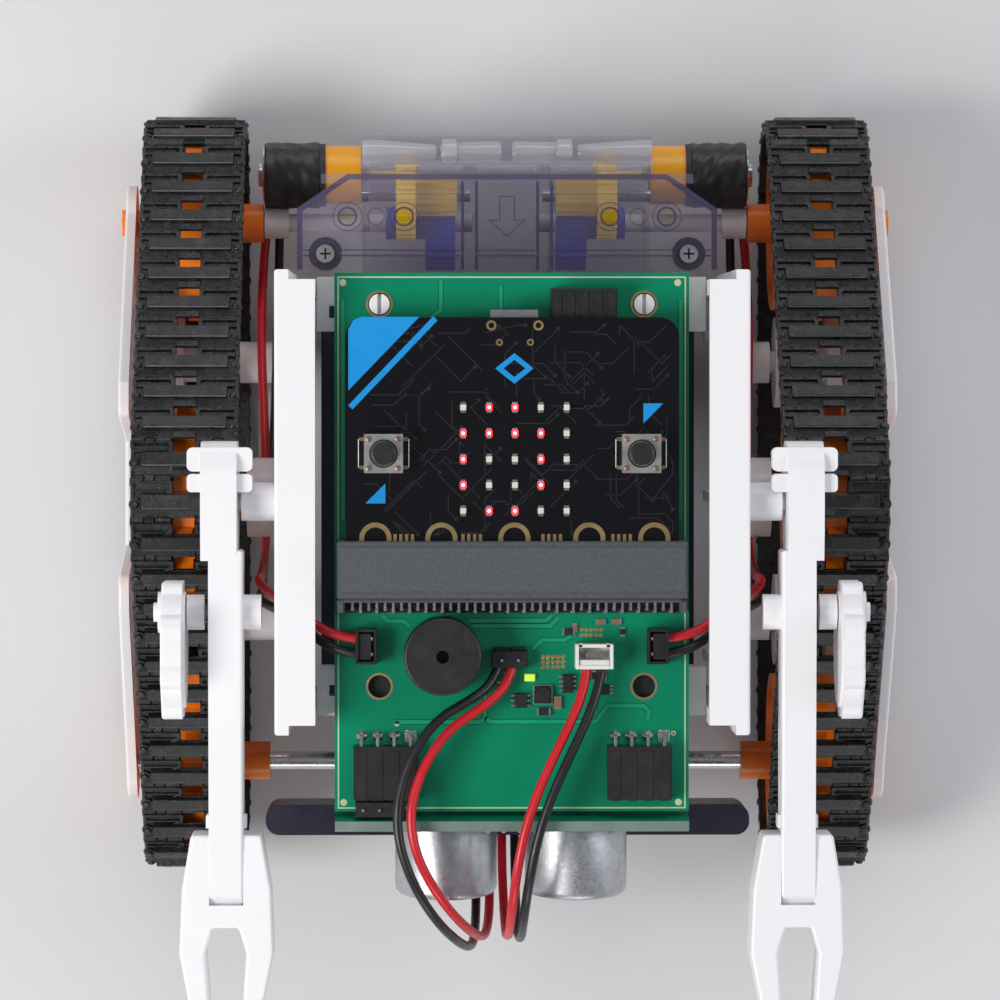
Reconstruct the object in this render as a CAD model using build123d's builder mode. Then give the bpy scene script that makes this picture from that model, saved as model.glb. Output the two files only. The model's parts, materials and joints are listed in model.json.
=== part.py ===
"""Tracked robot with triangular tracks, a geared drive, two swinging arms and a control deck.

The object is drawn about the apex axles of its tracks: X to the right, Y to the rear, Z up from
the ground. Each piece is written out moved along Y, so that the origin is the middle of the
footprint.
"""

import os
from math import atan2, cos, hypot, pi, radians, sin, tan

from build123d import *

os.makedirs("parts", exist_ok=True)

# Belt and its three wheels, on each side
link_pitch = 6.35
link_count = 49
wheel_teeth = 16
wheel_base = 90.0
apex_rise = 39.4
track_x = 51.65
link_width = 16.8
plate_half = 1.0
grouser_top = 2.0
tooth_window = 3.3
plate_length = 5.9
tooth_width = 2.7
wheel_width = 14.4

# Drive train, on each side
gear_module = 0.5
pinion_teeth, idler_teeth, idler_pinion_teeth, output_teeth = 10, 28, 12, 30
gear_backlash = 0.05
shaft_radius = 1.5
running_gap = 0.05

# White body and arms
plate_inner, plate_outer = 34.6, 36.8
flange_inner = 30.5
deck_top = 95.0
arm_inner, arm_outer = 42.6, 48.2
bar_inner, bar_outer = 41.7, 47.0
pivot = (0.0, 88.0)
cam_pin = (-17.1, 90.6)
cam_throw = 5.8
cam_radius = 10.9
hand_tip = -85.0

# Deck boards
board_half, board_front, board_rear, board_thick = 27.6, -48.3, 35.6, 1.6
board_top = 88.0
controller_half, controller_front, controller_rear = 25.8, -13.4, 28.6
controller_top = 94.1
button_places = ((-19.9, 7.6), (19.9, 7.6))
button_travel = 0.25
led_pitch = 4.0
edge_pin_count, edge_pin_pitch = 40, 1.27

# Derived belt geometry
slope_length = hypot(wheel_base / 2, apex_rise)
slope_angle = atan2(apex_rise, wheel_base / 2)
belt_radius = (link_count * link_pitch - wheel_base - 2 * slope_length) / (2 * pi)
axle_z = belt_radius + grouser_top
rim_radius = belt_radius - 1.6
tooth_tip = belt_radius + 0.2
rear_axle = (wheel_base / 2, axle_z)
front_axle = (-wheel_base / 2, axle_z)
apex_axle = (0.0, axle_z + apex_rise)
road_wheel_radius = 7.6
road_axle_z = grouser_top + plate_half + 0.15 + road_wheel_radius
road_axles = ((21.7, road_axle_z), (-21.7, road_axle_z))

# Gear axes, from the output shaft up to the idler and down to the motor
idler_reach = gear_module * (idler_pinion_teeth + output_teeth) / 2 + gear_backlash
motor_reach = gear_module * (idler_teeth + pinion_teeth) / 2 + gear_backlash
idler_angle, motor_angle = 66.0, -67.2
idler_axis = (
    rear_axle[0] + idler_reach * cos(radians(idler_angle)),
    rear_axle[1] + idler_reach * sin(radians(idler_angle)),
)
motor_axis = (
    idler_axis[0] + motor_reach * cos(radians(motor_angle)),
    idler_axis[1] + motor_reach * sin(radians(motor_angle)),
)
motor_radius = 5.25

# The origin is the middle of the footprint, between the hands' tips and the belts' rear
belt_rear = wheel_base / 2 + belt_radius + grouser_top
apex_y = -(hand_tip + belt_rear) / 2


def save(piece, name):
    """Labels a finished piece and writes it in the object's own frame."""
    shifted = piece.part.moved(Location((0, apex_y, 0)))
    shifted.label = name
    export_step(shifted, f"parts/{name}.step")


def save_pair(piece, name):
    """Writes a right-hand piece and its mirror twin."""
    save(piece, f"right_{name}")
    with BuildPart() as twin:
        mirror(piece.part, about=Plane.YZ)
    save(twin, f"left_{name}")


def rod(x_low, x_high, centre, radius, mode=Mode.ADD):
    """A cylinder along X, at centre (y, z), in the part in hand."""
    with Locations(Location(((x_low + x_high) / 2, *centre), (0, 90, 0))):
        Cylinder(radius, x_high - x_low, mode=mode)


def post(x, y, z_low, z_high, radius, mode=Mode.ADD):
    """A cylinder along Z in the part in hand."""
    with Locations((x, y, (z_low + z_high) / 2)):
        Cylinder(radius, z_high - z_low, mode=mode)


def block(x_span, y_span, z_span, mode=Mode.ADD):
    """A box between three pairs of limits, in the part in hand."""
    spans = (x_span, y_span, z_span)
    with Locations(tuple(sum(span) / 2 for span in spans)):
        Box(*(high - low for low, high in spans), mode=mode)


def spur_face(centre, teeth, phase):
    """The face of a spur gear with straight flanks, in the sketch in hand."""
    pitch_radius = gear_module * teeth / 2
    root, tip = pitch_radius - 0.62, pitch_radius + 0.42
    with Locations(centre):
        Circle(root)
        with PolarLocations(0, teeth, start_angle=phase):
            Polygon((root - 0.1, -0.36), (tip, -0.16), (tip, 0.16), (root - 0.1, 0.36), align=None)


# ---------------------------------------------------------------- belts

belt_runs = (
    (wheel_base / 2, 0),
    (0, pi - slope_angle),
    (slope_length, 0),
    (0, 2 * slope_angle),
    (slope_length, 0),
    (0, pi - slope_angle),
    (wheel_base / 2, 0),
)


def belt_point(distance):
    """The point (y, z) on the pitch line, from the middle of the ground run, front first."""
    y, z, heading = 0.0, axle_z - belt_radius, pi
    for length, turn in belt_runs:
        step = min(distance, length or belt_radius * turn)
        if length:
            y += step * cos(heading)
            z += step * sin(heading)
        else:
            centre_y = y + belt_radius * sin(heading)
            centre_z = z - belt_radius * cos(heading)
            heading -= step / belt_radius
            y = centre_y - belt_radius * sin(heading)
            z = centre_z + belt_radius * cos(heading)
        distance -= step
        if distance <= 0:
            break
    return y, z


def link_place(index):
    """The plane of one link: across the belt, along its travel, and outwards."""
    y0, z0 = belt_point(index * link_pitch)
    y1, z1 = belt_point((index + 1) * link_pitch)
    heading = atan2(z1 - z0, y1 - y0)
    outward = (0, -sin(heading), cos(heading))
    return Plane((track_x, (y0 + y1) / 2, (z0 + z1) / 2), x_dir=(1, 0, 0), z_dir=outward)


with BuildPart() as link:
    Box(link_width, plate_length, 2 * plate_half)
    Box(tooth_window, plate_length + 1, 3 * plate_half, mode=Mode.SUBTRACT)
    block((-6.8, 6.8), (-1.5, 0.9), (plate_half - 0.1, grouser_top))
    block((-1.8, 1.8), (-2.9, 1.0), (plate_half - 0.1, plate_half + 0.2))
    for side in (-1, 1):
        rod(*sorted((side * 8.3, side * 8.55)), (link_pitch / 2 - 0.4, 0), 0.8)

with BuildPart() as track_links:
    with Locations(*[link_place(index) for index in range(link_count)]):
        add(link.part)
save_pair(track_links, "track_links")

# ---------------------------------------------------------------- belt wheels


def track_wheel(centre, bore, inner_hub, outer_hub):
    """A toothed wheel whose hub runs from one (x, radius) to the other, with its bore."""
    low = track_x - wheel_width / 2
    with BuildPart() as wheel:
        with BuildSketch(Plane.YZ.offset(low)):
            with Locations(centre):
                Circle(rim_radius)
                Circle(rim_radius - 2.2, mode=Mode.SUBTRACT)
        extrude(amount=wheel_width)
        with BuildSketch(Plane.YZ.offset(track_x - 1.5)):
            with Locations(centre):
                Circle(rim_radius - 1)
                with PolarLocations(8.3, 6):
                    Circle(2.3, mode=Mode.SUBTRACT)
        extrude(amount=3)
        with BuildSketch(Plane.YZ.offset(track_x - tooth_width / 2)):
            with Locations(centre):
                with PolarLocations(0, wheel_teeth):
                    Polygon(
                        (rim_radius - 1, -1.5),
                        (tooth_tip, -0.7),
                        (tooth_tip, 0.7),
                        (rim_radius - 1, 1.5),
                        align=None,
                    )
        extrude(amount=tooth_width)
        rod(low, low + wheel_width, centre, 4.4)
        rod(inner_hub[0], low + 1, centre, inner_hub[1])
        rod(low + wheel_width - 1, outer_hub[0], centre, outer_hub[1])
        rod(inner_hub[0] - 1, outer_hub[0] + 1, centre, bore, mode=Mode.SUBTRACT)
    return wheel


drive_wheel = track_wheel(rear_axle, shaft_radius, (40.4, 3.25), (61.0, 2.7))
with BuildPart() as drive_wheel_with_cap:
    add(drive_wheel.part)
    rod(61.0, 64.0, rear_axle, 2.2)
save_pair(drive_wheel_with_cap, "drive_wheel")
save_pair(
    track_wheel(front_axle, shaft_radius + running_gap, (39.4, 3.2), (61.0, 2.7)), "front_wheel"
)
save_pair(track_wheel(apex_axle, 1.9 + running_gap, (42.4, 3.6), (59.4, 3.2)), "apex_wheel")

for centre, name in zip(road_axles, ("rear_road_wheel", "front_road_wheel")):
    with BuildPart() as road_wheel:
        for x_low in (45.4, 54.0):
            rod(x_low, x_low + 3.8, centre, road_wheel_radius)
            rod(x_low + 2.6, x_low + 4.0, centre, 5.6, mode=Mode.SUBTRACT)
        rod(45.4, 57.8, centre, 3.3)
        rod(45.0, 58.0, centre, 1.9 + running_gap, mode=Mode.SUBTRACT)
    save_pair(road_wheel, name)

with BuildPart() as front_axle_rod:
    rod(-63.2, 63.2, front_axle, shaft_radius)
save(front_axle_rod, "front_axle")

with BuildPart() as fixed_axles:
    for side in (-1, 1):
        for centre in road_axles:
            rod(*sorted((side * plate_outer, side * 44.6)), centre, 3.5)
            rod(*sorted((side * 44.6, side * 61.5)), centre, 1.9)
        rod(*sorted((side * plate_outer, side * 42.0)), apex_axle, 6.35)
        rod(*sorted((side * 42.0, side * 59.7)), apex_axle, 1.9)
        rod(*sorted((side * 59.7, side * 60.6)), apex_axle, 3.0)
save(fixed_axles, "fixed_axles")

with BuildPart() as outer_frame:
    with BuildSketch(Plane.YZ.offset(61.5)):
        Polygon(
            (-50.0, 15.0),
            (-46.0, 12.0),
            (46.0, 12.0),
            (50.0, 15.0),
            (50.0, 21.0),
            (18.5, 49.5),
            (13.0, 50.0),
            (8.5, 27.0),
            (-8.5, 27.0),
            (-13.0, 50.0),
            (-18.5, 49.5),
            (-50.0, 21.0),
            align=None,
        )
        for y, z in (rear_axle, front_axle):
            with Locations((y, z)):
                Circle(6.2)
    extrude(amount=1.7)
    fillet(outer_frame.edges().filter_by(Axis.X).group_by(Axis.Z)[-1], 2)
    fillet(outer_frame.faces().sort_by(Axis.X)[-1].edges(), 0.5)
    rod(61, 64, rear_axle, 2.2 + running_gap, mode=Mode.SUBTRACT)
    rod(61, 64, front_axle, shaft_radius, mode=Mode.SUBTRACT)
save_pair(outer_frame, "outer_frame")

# ---------------------------------------------------------------- gear train

output_phase = idler_angle
idler_small_phase = idler_angle + 180 + 180 / idler_pinion_teeth
idler_big_phase = motor_angle
pinion_phase = motor_angle + 180 + 180 / pinion_teeth

with BuildPart() as output_gear:
    with BuildSketch(Plane.YZ.offset(8.4)):
        spur_face(rear_axle, output_teeth, output_phase)
    extrude(amount=5.0)
    rod(13.4, 20.0, rear_axle, 2.7)
    rod(8.0, 21.0, rear_axle, shaft_radius, mode=Mode.SUBTRACT)
save_pair(output_gear, "output_gear")

with BuildPart() as output_shaft:
    rod(5.6, 60.9, rear_axle, shaft_radius)
    rod(36.2, 40.2, rear_axle, 2.6)
save_pair(output_shaft, "output_shaft")

with BuildPart() as idler_gear:
    with BuildSketch(Plane.YZ.offset(8.2)):
        spur_face(idler_axis, idler_pinion_teeth, idler_small_phase)
    extrude(amount=6.8)
    with BuildSketch(Plane.YZ.offset(15.0)):
        spur_face(idler_axis, idler_teeth, idler_big_phase)
    extrude(amount=3.2)
    rod(8.0, 19.0, idler_axis, 1.0 + running_gap, mode=Mode.SUBTRACT)
save_pair(idler_gear, "idler_gear")

with BuildPart() as motor_pinion:
    with BuildSketch(Plane.YZ.offset(14.7)):
        spur_face(motor_axis, pinion_teeth, pinion_phase)
    extrude(amount=3.8)
    rod(18.4, 26.0, motor_axis, 0.75)
save_pair(motor_pinion, "motor_pinion")

with BuildPart() as motors:
    for side in (-1, 1):
        rod(*sorted((side * 24.1, side * 30.0)), motor_axis, 4.9)
        rod(*sorted((side * 30.0, side * 40.2)), motor_axis, motor_radius)
        rod(*sorted((side * 24.0, side * 26.5)), motor_axis, 0.75 + running_gap, mode=Mode.SUBTRACT)
save(motors, "motors")

case_half, case_front, case_rear, case_low, case_split, case_top = 24.0, 34.0, 59.3, 8.0, 24.0, 38.0
case_wall = 1.3
case_cells = ((-22.7, -7.3), (-5.0, 5.0), (7.3, 22.7))

with BuildPart() as gearbox_base:
    block((-case_half, case_half), (case_front, case_rear), (case_low, case_split))
    fillet(gearbox_base.edges().filter_by(Axis.X).group_by(Axis.Z)[0], 3)
    for cell in case_cells:
        inside_y = (case_front + case_wall, case_rear - case_wall)
        block(cell, inside_y, (case_low + case_wall, case_split + 1), mode=Mode.SUBTRACT)
    for side in (-1, 1):
        block(tuple(sorted((side * 24, side * 39))), (49.5, 56.5), (case_low, 17.0))
        rod(*sorted((side * 24.01, side * 42)), motor_axis, motor_radius, mode=Mode.SUBTRACT)
        rod(*sorted((side * 4, side * 27)), rear_axle, shaft_radius + running_gap, Mode.SUBTRACT)
        rod(*sorted((side * 20, side * 24.5)), motor_axis, 1.0, Mode.SUBTRACT)
save(gearbox_base, "gearbox_base")

with BuildPart() as gearbox_cover:
    with BuildSketch(Plane.YZ.offset(-case_half)):
        with BuildLine():
            Polyline((49.2, case_top), (case_front, case_top), (case_front, case_split))
            Polyline((case_front, case_split), (case_rear, case_split), (case_rear, 28.0))
            RadiusArc((49.2, case_top), (case_rear, 28.0), 10.05)
        make_face()
    extrude(amount=2 * case_half)
    inner_arc = 10.05 - case_wall
    for cell in case_cells:
        with BuildSketch(Plane.YZ.offset(cell[0])):
            with BuildLine():
                inner_top = case_top - case_wall
                inner_rear = case_rear - case_wall
                front = case_front + case_wall
                Polyline((49.2, inner_top), (front, inner_top), (front, case_split))
                Polyline((front, case_split), (inner_rear, case_split), (inner_rear, 28.0))
                RadiusArc((49.2, inner_top), (inner_rear, 28.0), inner_arc)
            make_face()
        extrude(amount=cell[1] - cell[0], mode=Mode.SUBTRACT)
    with BuildSketch(Plane.XY.offset(36.2)):
        Polygon(
            (-34.5, 36.6), (34.5, 36.6), (34.5, 46.9), (26.3, 52.6), (-26.3, 52.6), (-34.5, 46.9),
            align=None,
        )
        Rectangle(2 * case_half - 1, 60, align=(Align.CENTER, Align.CENTER), mode=Mode.SUBTRACT)
    extrude(amount=case_top - 36.2)
    block((-30.5, 30.5), (51.0, 52.6), (case_top, case_top + 0.7))
    block((-27.5, 27.5), (39.0, 39.8), (case_top, case_top + 0.7))
    for side in (-1, 1):
        post(side * 29.8, 39.5, 33.0, 36.2, 2.8)
        post(side * 29.8, 39.5, 32.0, 39.0, 1.1, mode=Mode.SUBTRACT)
        for x in (16.9, 26.2):
            post(side * x, 45.6, 30.0, 40.0, 1.3, mode=Mode.SUBTRACT)
        rod(*sorted((side * 7.0, side * 8.0)), idler_axis, 2.0)
        rod(*sorted((side * 18.4, side * 22.8)), idler_axis, 2.0)
        rod(*sorted((side * 5.9, side * 25)), idler_axis, 1.0, mode=Mode.SUBTRACT)
save(gearbox_cover, "gearbox_cover")

with BuildPart() as gearbox_hardware:
    for side in (-1, 1):
        rod(*sorted((side * 6.0, side * 23.9)), idler_axis, 1.0)
        post(side * 29.8, 39.5, 32.2, 38.0, 1.1)
        post(side * 29.8, 39.5, 38.0, 38.8, 1.5)
save(gearbox_hardware, "gearbox_hardware")

# ---------------------------------------------------------------- white body

flange_thick = 2.4
slot_y, slot_z = (-20.5, -11.0), (78.0, 91.0)

with BuildPart() as side_plate:
    with BuildSketch(Plane.YZ.offset(flange_inner)):
        Polygon((-34.5, 95), (34.5, 95), (34.5, 30), (24, 14), (-24, 14), (-34.5, 30), align=None)
        with Locations((0, (deck_top + 14) / 2 - flange_thick)):
            Rectangle(69 - 2 * flange_thick, deck_top - 14, mode=Mode.SUBTRACT)
    extrude(amount=plate_inner - flange_inner)
    with BuildSketch(Plane.YZ.offset(plate_inner)):
        Polygon((-36, 95), (36, 95), (36, 30), (25, 13), (-25, 13), (-36, 30), align=None)
    extrude(amount=plate_outer - plate_inner)
    fillet(side_plate.faces().sort_by(Axis.X)[-1].edges(), 0.5)
    rod(plate_outer - 0.6, 42.0, pivot, 3.0)
    rod(41.9, 48.4, pivot, 1.5)
    block((plate_inner - 0.1, plate_outer + 0.1), slot_y, slot_z, mode=Mode.SUBTRACT)
    for y in (-26, 0, 26):
        block((plate_inner - 2.5, plate_inner), (y - 0.8, y + 0.8), (40, 93))
save_pair(side_plate, "side_plate")

with BuildPart() as cross_blocks:
    block((-30.4, 30.4), (26.5, 35.0), (76.0, 84.0))
    block((-30.4, 30.4), (-33.6, -26.0), (76.0, 84.0))
    block((-28.5, -26.5), (28.6, 30.5), (75, 85), mode=Mode.SUBTRACT)
    block((-28.5, -26.5), (-30.5, -28.8), (75, 85), mode=Mode.SUBTRACT)
    for side in (-1, 1):
        post(side * 20.6, 30.7, 83.5, 86.4, 3.0)
        post(side * 20.6, 30.7, 86.3, 88.7, 1.6)
        block((side * 20.6 - 0.3, side * 20.6 + 0.3), (28, 33), (87.6, 89), mode=Mode.SUBTRACT)
        post(side * 20.6, -28.8, 83.5, 86.4, 3.0)
        post(side * 20.6, -28.8, 80.0, 87.0, 1.2, mode=Mode.SUBTRACT)
save(cross_blocks, "cross_blocks")

# ---------------------------------------------------------------- lower hull and battery

hull_low, hull_top = 12.0, 44.0
with BuildPart() as lower_hull:
    block((-30.4, 30.4), (-34.0, 33.0), (hull_low, hull_top))
    fillet(lower_hull.edges().filter_by(Axis.Z), 2)
    block((-28.4, 28.4), (-32.0, 31.0), (hull_low - 1, hull_top - 2), mode=Mode.SUBTRACT)
    block((-28.0, 28.0), (-52.0, -33.0), (28.0, hull_top))
    with BuildSketch(Plane.XY.offset(30.0)):
        with Locations((0, -53.0)):
            RectangleRounded(79.0, 5.0, 2.2)
    extrude(amount=hull_top - 30.0)
    for side in (-1, 1):
        block(tuple(sorted((side * 25.0, side * 28.0))), (-51.0, -36.0), (hull_low, 29.0))
    rod(-30, 30, front_axle, shaft_radius, mode=Mode.SUBTRACT)
save(lower_hull, "lower_hull")

with BuildPart() as battery_cover:
    block((-28.2, 28.2), (-31.8, 30.8), (10.0, 12.6))
    fillet(battery_cover.edges().filter_by(Axis.Z), 2)
    for x in (-9, -3, 3, 9):
        block((x - 1, x + 1), (-31, -24), (9.9, 10.5), mode=Mode.SUBTRACT)
save(battery_cover, "battery_cover")

cell_radius = 5.2
with BuildPart() as battery_cells:
    for index in range(4):
        y = -24 + index * 2 * (cell_radius + 0.4)
        for x_low, x_high, radius in ((-21.5, 20.5, cell_radius), (20.5, 21.5, 1.9)):
            rod(x_low, x_high, (y, 19.0), radius)
save(battery_cells, "battery_cells")

# ---------------------------------------------------------------- arms

with BuildPart() as arm:
    with BuildSketch(Plane.YZ.offset(arm_inner)):
        with Locations((0.2, 88.6)):
            RectangleRounded(18.4, 15.2, 5.0)
        Polygon((0, 81.0), (-9.0, 84.4), (-9.0, 95.4), (-3.0, 96.0), align=None)
    extrude(amount=arm_outer - arm_inner)
    with BuildSketch(Plane.YZ.offset(bar_inner)):
        Polygon(
            (-7.5, 83.9), (-61.0, 85.4), (-62.5, 87.0), (-62.5, 92.0), (-61.0, 93.6),
            (-22, 95.6), (-7.5, 95.4),
            align=None,
        )
    extrude(amount=bar_outer - bar_inner)
    fillet(arm.faces().sort_by(Axis.X)[0].edges(), 0.5)
    with BuildSketch(Plane.XY.offset(91.0)):
        with Locations((45.25, 6.65)):
            RectangleRounded(10.1, 3.7, 0.9)
        with Locations((45.25, 3.0)):
            RectangleRounded(10.1, 2.8, 0.7)
    extrude(amount=3.9)
    rod(38.9, arm_inner + 0.5, cam_pin, 2.75)
    rod(arm_outer - 0.5, 50.4, cam_pin, 2.75)
    rod(50.0, 55.6, cam_pin, 1.5)
    for x in (bar_inner - 0.5, bar_outer - 0.5):
        block((x, x + 1.0), (-50.6, -48.6), (88.0, 92.0))
    rod(41.0, 49.0, pivot, 1.5 + running_gap, mode=Mode.SUBTRACT)
save_pair(arm, "arm")

with BuildPart() as pivot_caps:
    for side in (-1, 1):
        rod(*sorted((side * 48.4, side * 50.2)), pivot, 2.1)
save(pivot_caps, "pivot_caps")

cam_centre = (cam_pin[0] - cam_throw, cam_pin[1])
lobe_count = 8
with BuildPart() as cam_wheel:
    with BuildSketch(Plane.YZ.offset(51.0)):
        with Locations(cam_centre):
            Circle(cam_radius - 0.4)
            with PolarLocations(cam_radius - 2.0, lobe_count, start_angle=22.5):
                Circle(2.4)
    extrude(amount=3.2)
    fillet(cam_wheel.faces().sort_by(Axis.X)[-1].edges(), 0.4)
    rod(50.6, 51.2, cam_centre, 9.0)
    rod(50.6, 54.9, cam_pin, 3.2)
    rod(53.6, 54.3, cam_centre, 8.4, mode=Mode.SUBTRACT)
    rod(50.6, 54.9, cam_pin, 3.2)
    rod(50.0, 56.0, cam_pin, 1.5 + running_gap, mode=Mode.SUBTRACT)
save_pair(cam_wheel, "cam_wheel")

with BuildPart() as hand:
    with BuildSketch(Plane.XY.offset(83.0)):
        Polygon(
            (38.9, -51.6), (49.8, -51.6), (51.2, -60.0), (51.6, -70.0), (48.8, hand_tip),
            (46.6, -84.0), (47.6, -70.0), (46.4, -66.0), (42.4, -66.0), (41.2, -70.0),
            (42.2, -84.0), (40.0, hand_tip), (37.0, -70.0), (37.4, -60.0),
            align=None,
        )
    extrude(amount=10.5)
    fillet(hand.edges().filter_by(Axis.Z), 0.6)
    fillet(hand.faces().sort_by(Axis.Z)[-1].edges(), 0.5)
    block((bar_inner, bar_outer), (-62.5, -51.0), (80, 100), mode=Mode.SUBTRACT)
save_pair(hand, "hand")

# ---------------------------------------------------------------- deck

with BuildPart() as main_board:
    block((-board_half, board_half), (board_front, board_rear), (board_top - board_thick, board_top))
    for side in (-1, 1):
        for y in (30.7, -28.8):
            post(side * 20.6, y, 86, 89, 1.75, mode=Mode.SUBTRACT)
save(main_board, "main_board")

with BuildPart() as controller_board:
    with BuildSketch(Plane.XY.offset(controller_top - board_thick)):
        with Locations((0, (controller_front + controller_rear) / 2)):
            RectangleRounded(2 * controller_half, controller_rear - controller_front, 3)
    extrude(amount=board_thick)
save(controller_board, "controller_board")

with BuildPart() as edge_connector:
    block((-27.2, 27.2), (-14.9, -5.9), (board_top, 97.0))
    for side in (-1, 1):
        block(tuple(sorted((side * 25.9, side * 27.2))), (-17.2, -14.9), (board_top, 94.0))
    fillet(edge_connector.faces().sort_by(Axis.Z)[-1].edges(), 0.4)
    block((-25.9, 25.9), (-13.5, -5.0), (92.4, 94.2), mode=Mode.SUBTRACT)
    for index in range(edge_pin_count):
        x = (index - (edge_pin_count - 1) / 2) * edge_pin_pitch
        block((x - 0.2, x + 0.2), (-17.6, -14.8), (90.0, 90.5))
        block((x - 0.2, x + 0.2), (-17.6, -17.2), (board_top, 90.2))
save(edge_connector, "edge_connector")

with BuildPart() as led_matrix:
    with Locations((0.4, 6.7, controller_top + 0.35)):
        with GridLocations(led_pitch, led_pitch, 5, 5):
            Box(1.0, 1.7, 0.7)
save(led_matrix, "led_matrix")

with BuildPart() as button_bodies:
    for x, y in button_places:
        block((x - 3.0, x + 3.0), (y - 3.0, y + 3.0), (controller_top, 97.6))
        post(x, y, controller_top + 0.6, 98.0, 1.85, mode=Mode.SUBTRACT)
save(button_bodies, "button_bodies")

for name, (x, y) in zip(("left_button", "right_button"), button_places):
    with BuildPart() as plunger:
        post(x, y, controller_top + 0.6 + button_travel + 0.05, 98.9, 1.8)
        fillet(plunger.faces().sort_by(Axis.Z)[-1].edges(), 0.25)
    save(plunger, name)

with BuildPart() as buzzer:
    post(-10.8, -23.8, board_top, 97.0, 6.0)
    fillet(buzzer.faces().sort_by(Axis.Z)[-1].edges(), 0.4)
    post(-10.8, -23.8, 94.0, 98.0, 1.0, mode=Mode.SUBTRACT)
save(buzzer, "buzzer")

lead_socket_spans = (
    ((9.8, 15.7), (-25.9, -22.0), 93.0),
    ((-3.1, 2.4), (-25.9, -23.1), 90.6),
    ((-24.3, -21.0), (-25.2, -19.7), 92.0),
    ((21.0, 24.3), (-25.2, -19.7), 92.0),
    ((-24.7, -14.5), (-46.4, -37.9), 91.0),
    ((14.8, 25.0), (-46.4, -37.9), 91.0),
    ((-24.4, -16.6), (-49.1, -46.4), 91.0),
)
with BuildPart() as sockets:
    for x_span, y_span, top in lead_socket_spans:
        block(x_span, y_span, (board_top, top))
    block((-3.4, 4.0), (24.6, 29.8), (89.8, controller_top - board_thick))
    block((6.0, 16.4), (26.4, 33.2), (board_top + 0.1, controller_top - board_thick))
    block((-2.8, 3.4), (25.4, 30.0), (90.3, 92.0), mode=Mode.SUBTRACT)
save(sockets, "sockets")

sensor_lean = 8.0
leaning = Plane(
    (0, -49.0, 81.6),
    x_dir=(1, 0, 0),
    z_dir=(0, -cos(radians(sensor_lean)), -sin(radians(sensor_lean))),
)
with BuildPart() as sensor_board:
    with BuildSketch(leaning.offset(-board_thick / 2)):
        Rectangle(55.0, 20.0)
    extrude(amount=board_thick)
save(sensor_board, "sensor_board")

with BuildPart() as transducers:
    with BuildSketch(leaning.offset(board_thick / 2)):
        with Locations((-10.2, -1.6), (10.2, -1.6)):
            Circle(8.0)
    extrude(amount=12.0)
    fillet(transducers.edges().filter_by(GeomType.CIRCLE).group_by(Axis.Y)[0], 0.6)
save(transducers, "transducers")

# ---------------------------------------------------------------- leads

lead_radius = 0.75


def lead(route, name):
    """A round lead: straight runs joined by the largest arcs that the runs allow."""
    points = [Vector(*point) for point in route]
    radii = []
    for before, here, after in zip(points, points[1:], points[2:]):
        run_in, run_out = here - before, after - here
        turn = radians(run_in.get_angle(run_out))
        radii.append(0.45 * min(run_in.length, run_out.length) / tan(turn / 2))
    with BuildPart() as cord:
        with BuildLine() as path:
            FilletPolyline(*points, radius=radii)
        with BuildSketch(Plane(path.line @ 0, z_dir=path.line % 0)):
            Circle(lead_radius)
        sweep()
    save(cord, name)
    length = sum(edge.length for edge in path.line.edges())
    section = pi * lead_radius**2
    print(name, f"length {length:.1f}", f"volume ratio {cord.part.volume / section / length:.4f}")
    print("  radii", " ".join(f"{radius:.1f}" for radius in radii))


supply_red = [
    (0.0, -25.9, 89.6),
    (-0.9, -28.9, 90.2),
    (-4.5, -31.8, 91.6),
    (-9.3, -34.8, 92.8),
    (-12.4, -38.6, 93.6),
    (-14.8, -43.4, 94.0),
    (-15.9, -48.6, 94.6),
    (-15.1, -54.0, 94.4),
    (-12.6, -59.4, 92.8),
    (-9.2, -64.4, 88.8),
    (-6.0, -68.0, 81.6),
    (-4.2, -69.6, 71.6),
    (-3.4, -68.8, 60.4),
    (-3.0, -65.4, 49.8),
    (-3.0, -60.6, 41.6),
    (-3.0, -55.5, 37.6),
]
supply_black = [
    (-2.2, -25.9, 89.6),
    (-3.3, -28.6, 90.6),
    (-6.7, -30.8, 92.2),
    (-11.3, -33.4, 93.4),
    (-14.4, -37.2, 94.2),
    (-16.9, -42.6, 94.4),
    (-18.0, -48.6, 94.8),
    (-17.2, -54.4, 94.6),
    (-14.8, -60.4, 93.4),
    (-11.4, -65.8, 89.4),
    (-8.0, -69.6, 81.8),
    (-6.2, -71.2, 71.4),
    (-5.5, -70.2, 60.0),
    (-5.2, -66.6, 49.6),
    (-5.2, -61.2, 41.4),
    (-5.2, -55.5, 37.6),
]
return_red = [
    (11.6, -25.9, 91.4),
    (11.2, -29.0, 91.8),
    (9.4, -33.6, 92.6),
    (6.8, -38.8, 93.2),
    (4.2, -44.4, 93.6),
    (2.0, -50.6, 94.0),
    (0.7, -57.4, 93.4),
    (0.0, -63.8, 89.8),
    (-0.3, -68.0, 82.2),
    (-0.6, -69.4, 71.8),
    (-0.7, -68.4, 60.6),
    (-0.8, -65.2, 50.0),
    (-0.9, -60.6, 41.8),
    (-0.9, -55.5, 37.8),
]
return_black = [
    (13.9, -25.9, 91.4),
    (13.3, -29.4, 92.2),
    (11.2, -34.6, 93.2),
    (8.6, -40.0, 93.8),
    (6.0, -45.8, 94.0),
    (4.0, -51.8, 94.0),
    (2.7, -58.4, 92.8),
    (1.9, -64.6, 88.6),
    (1.6, -68.6, 80.8),
    (1.4, -69.8, 70.8),
    (1.3, -68.8, 60.0),
    (1.2, -65.4, 49.6),
    (1.2, -60.4, 41.6),
    (1.2, -55.5, 37.8),
]
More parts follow.
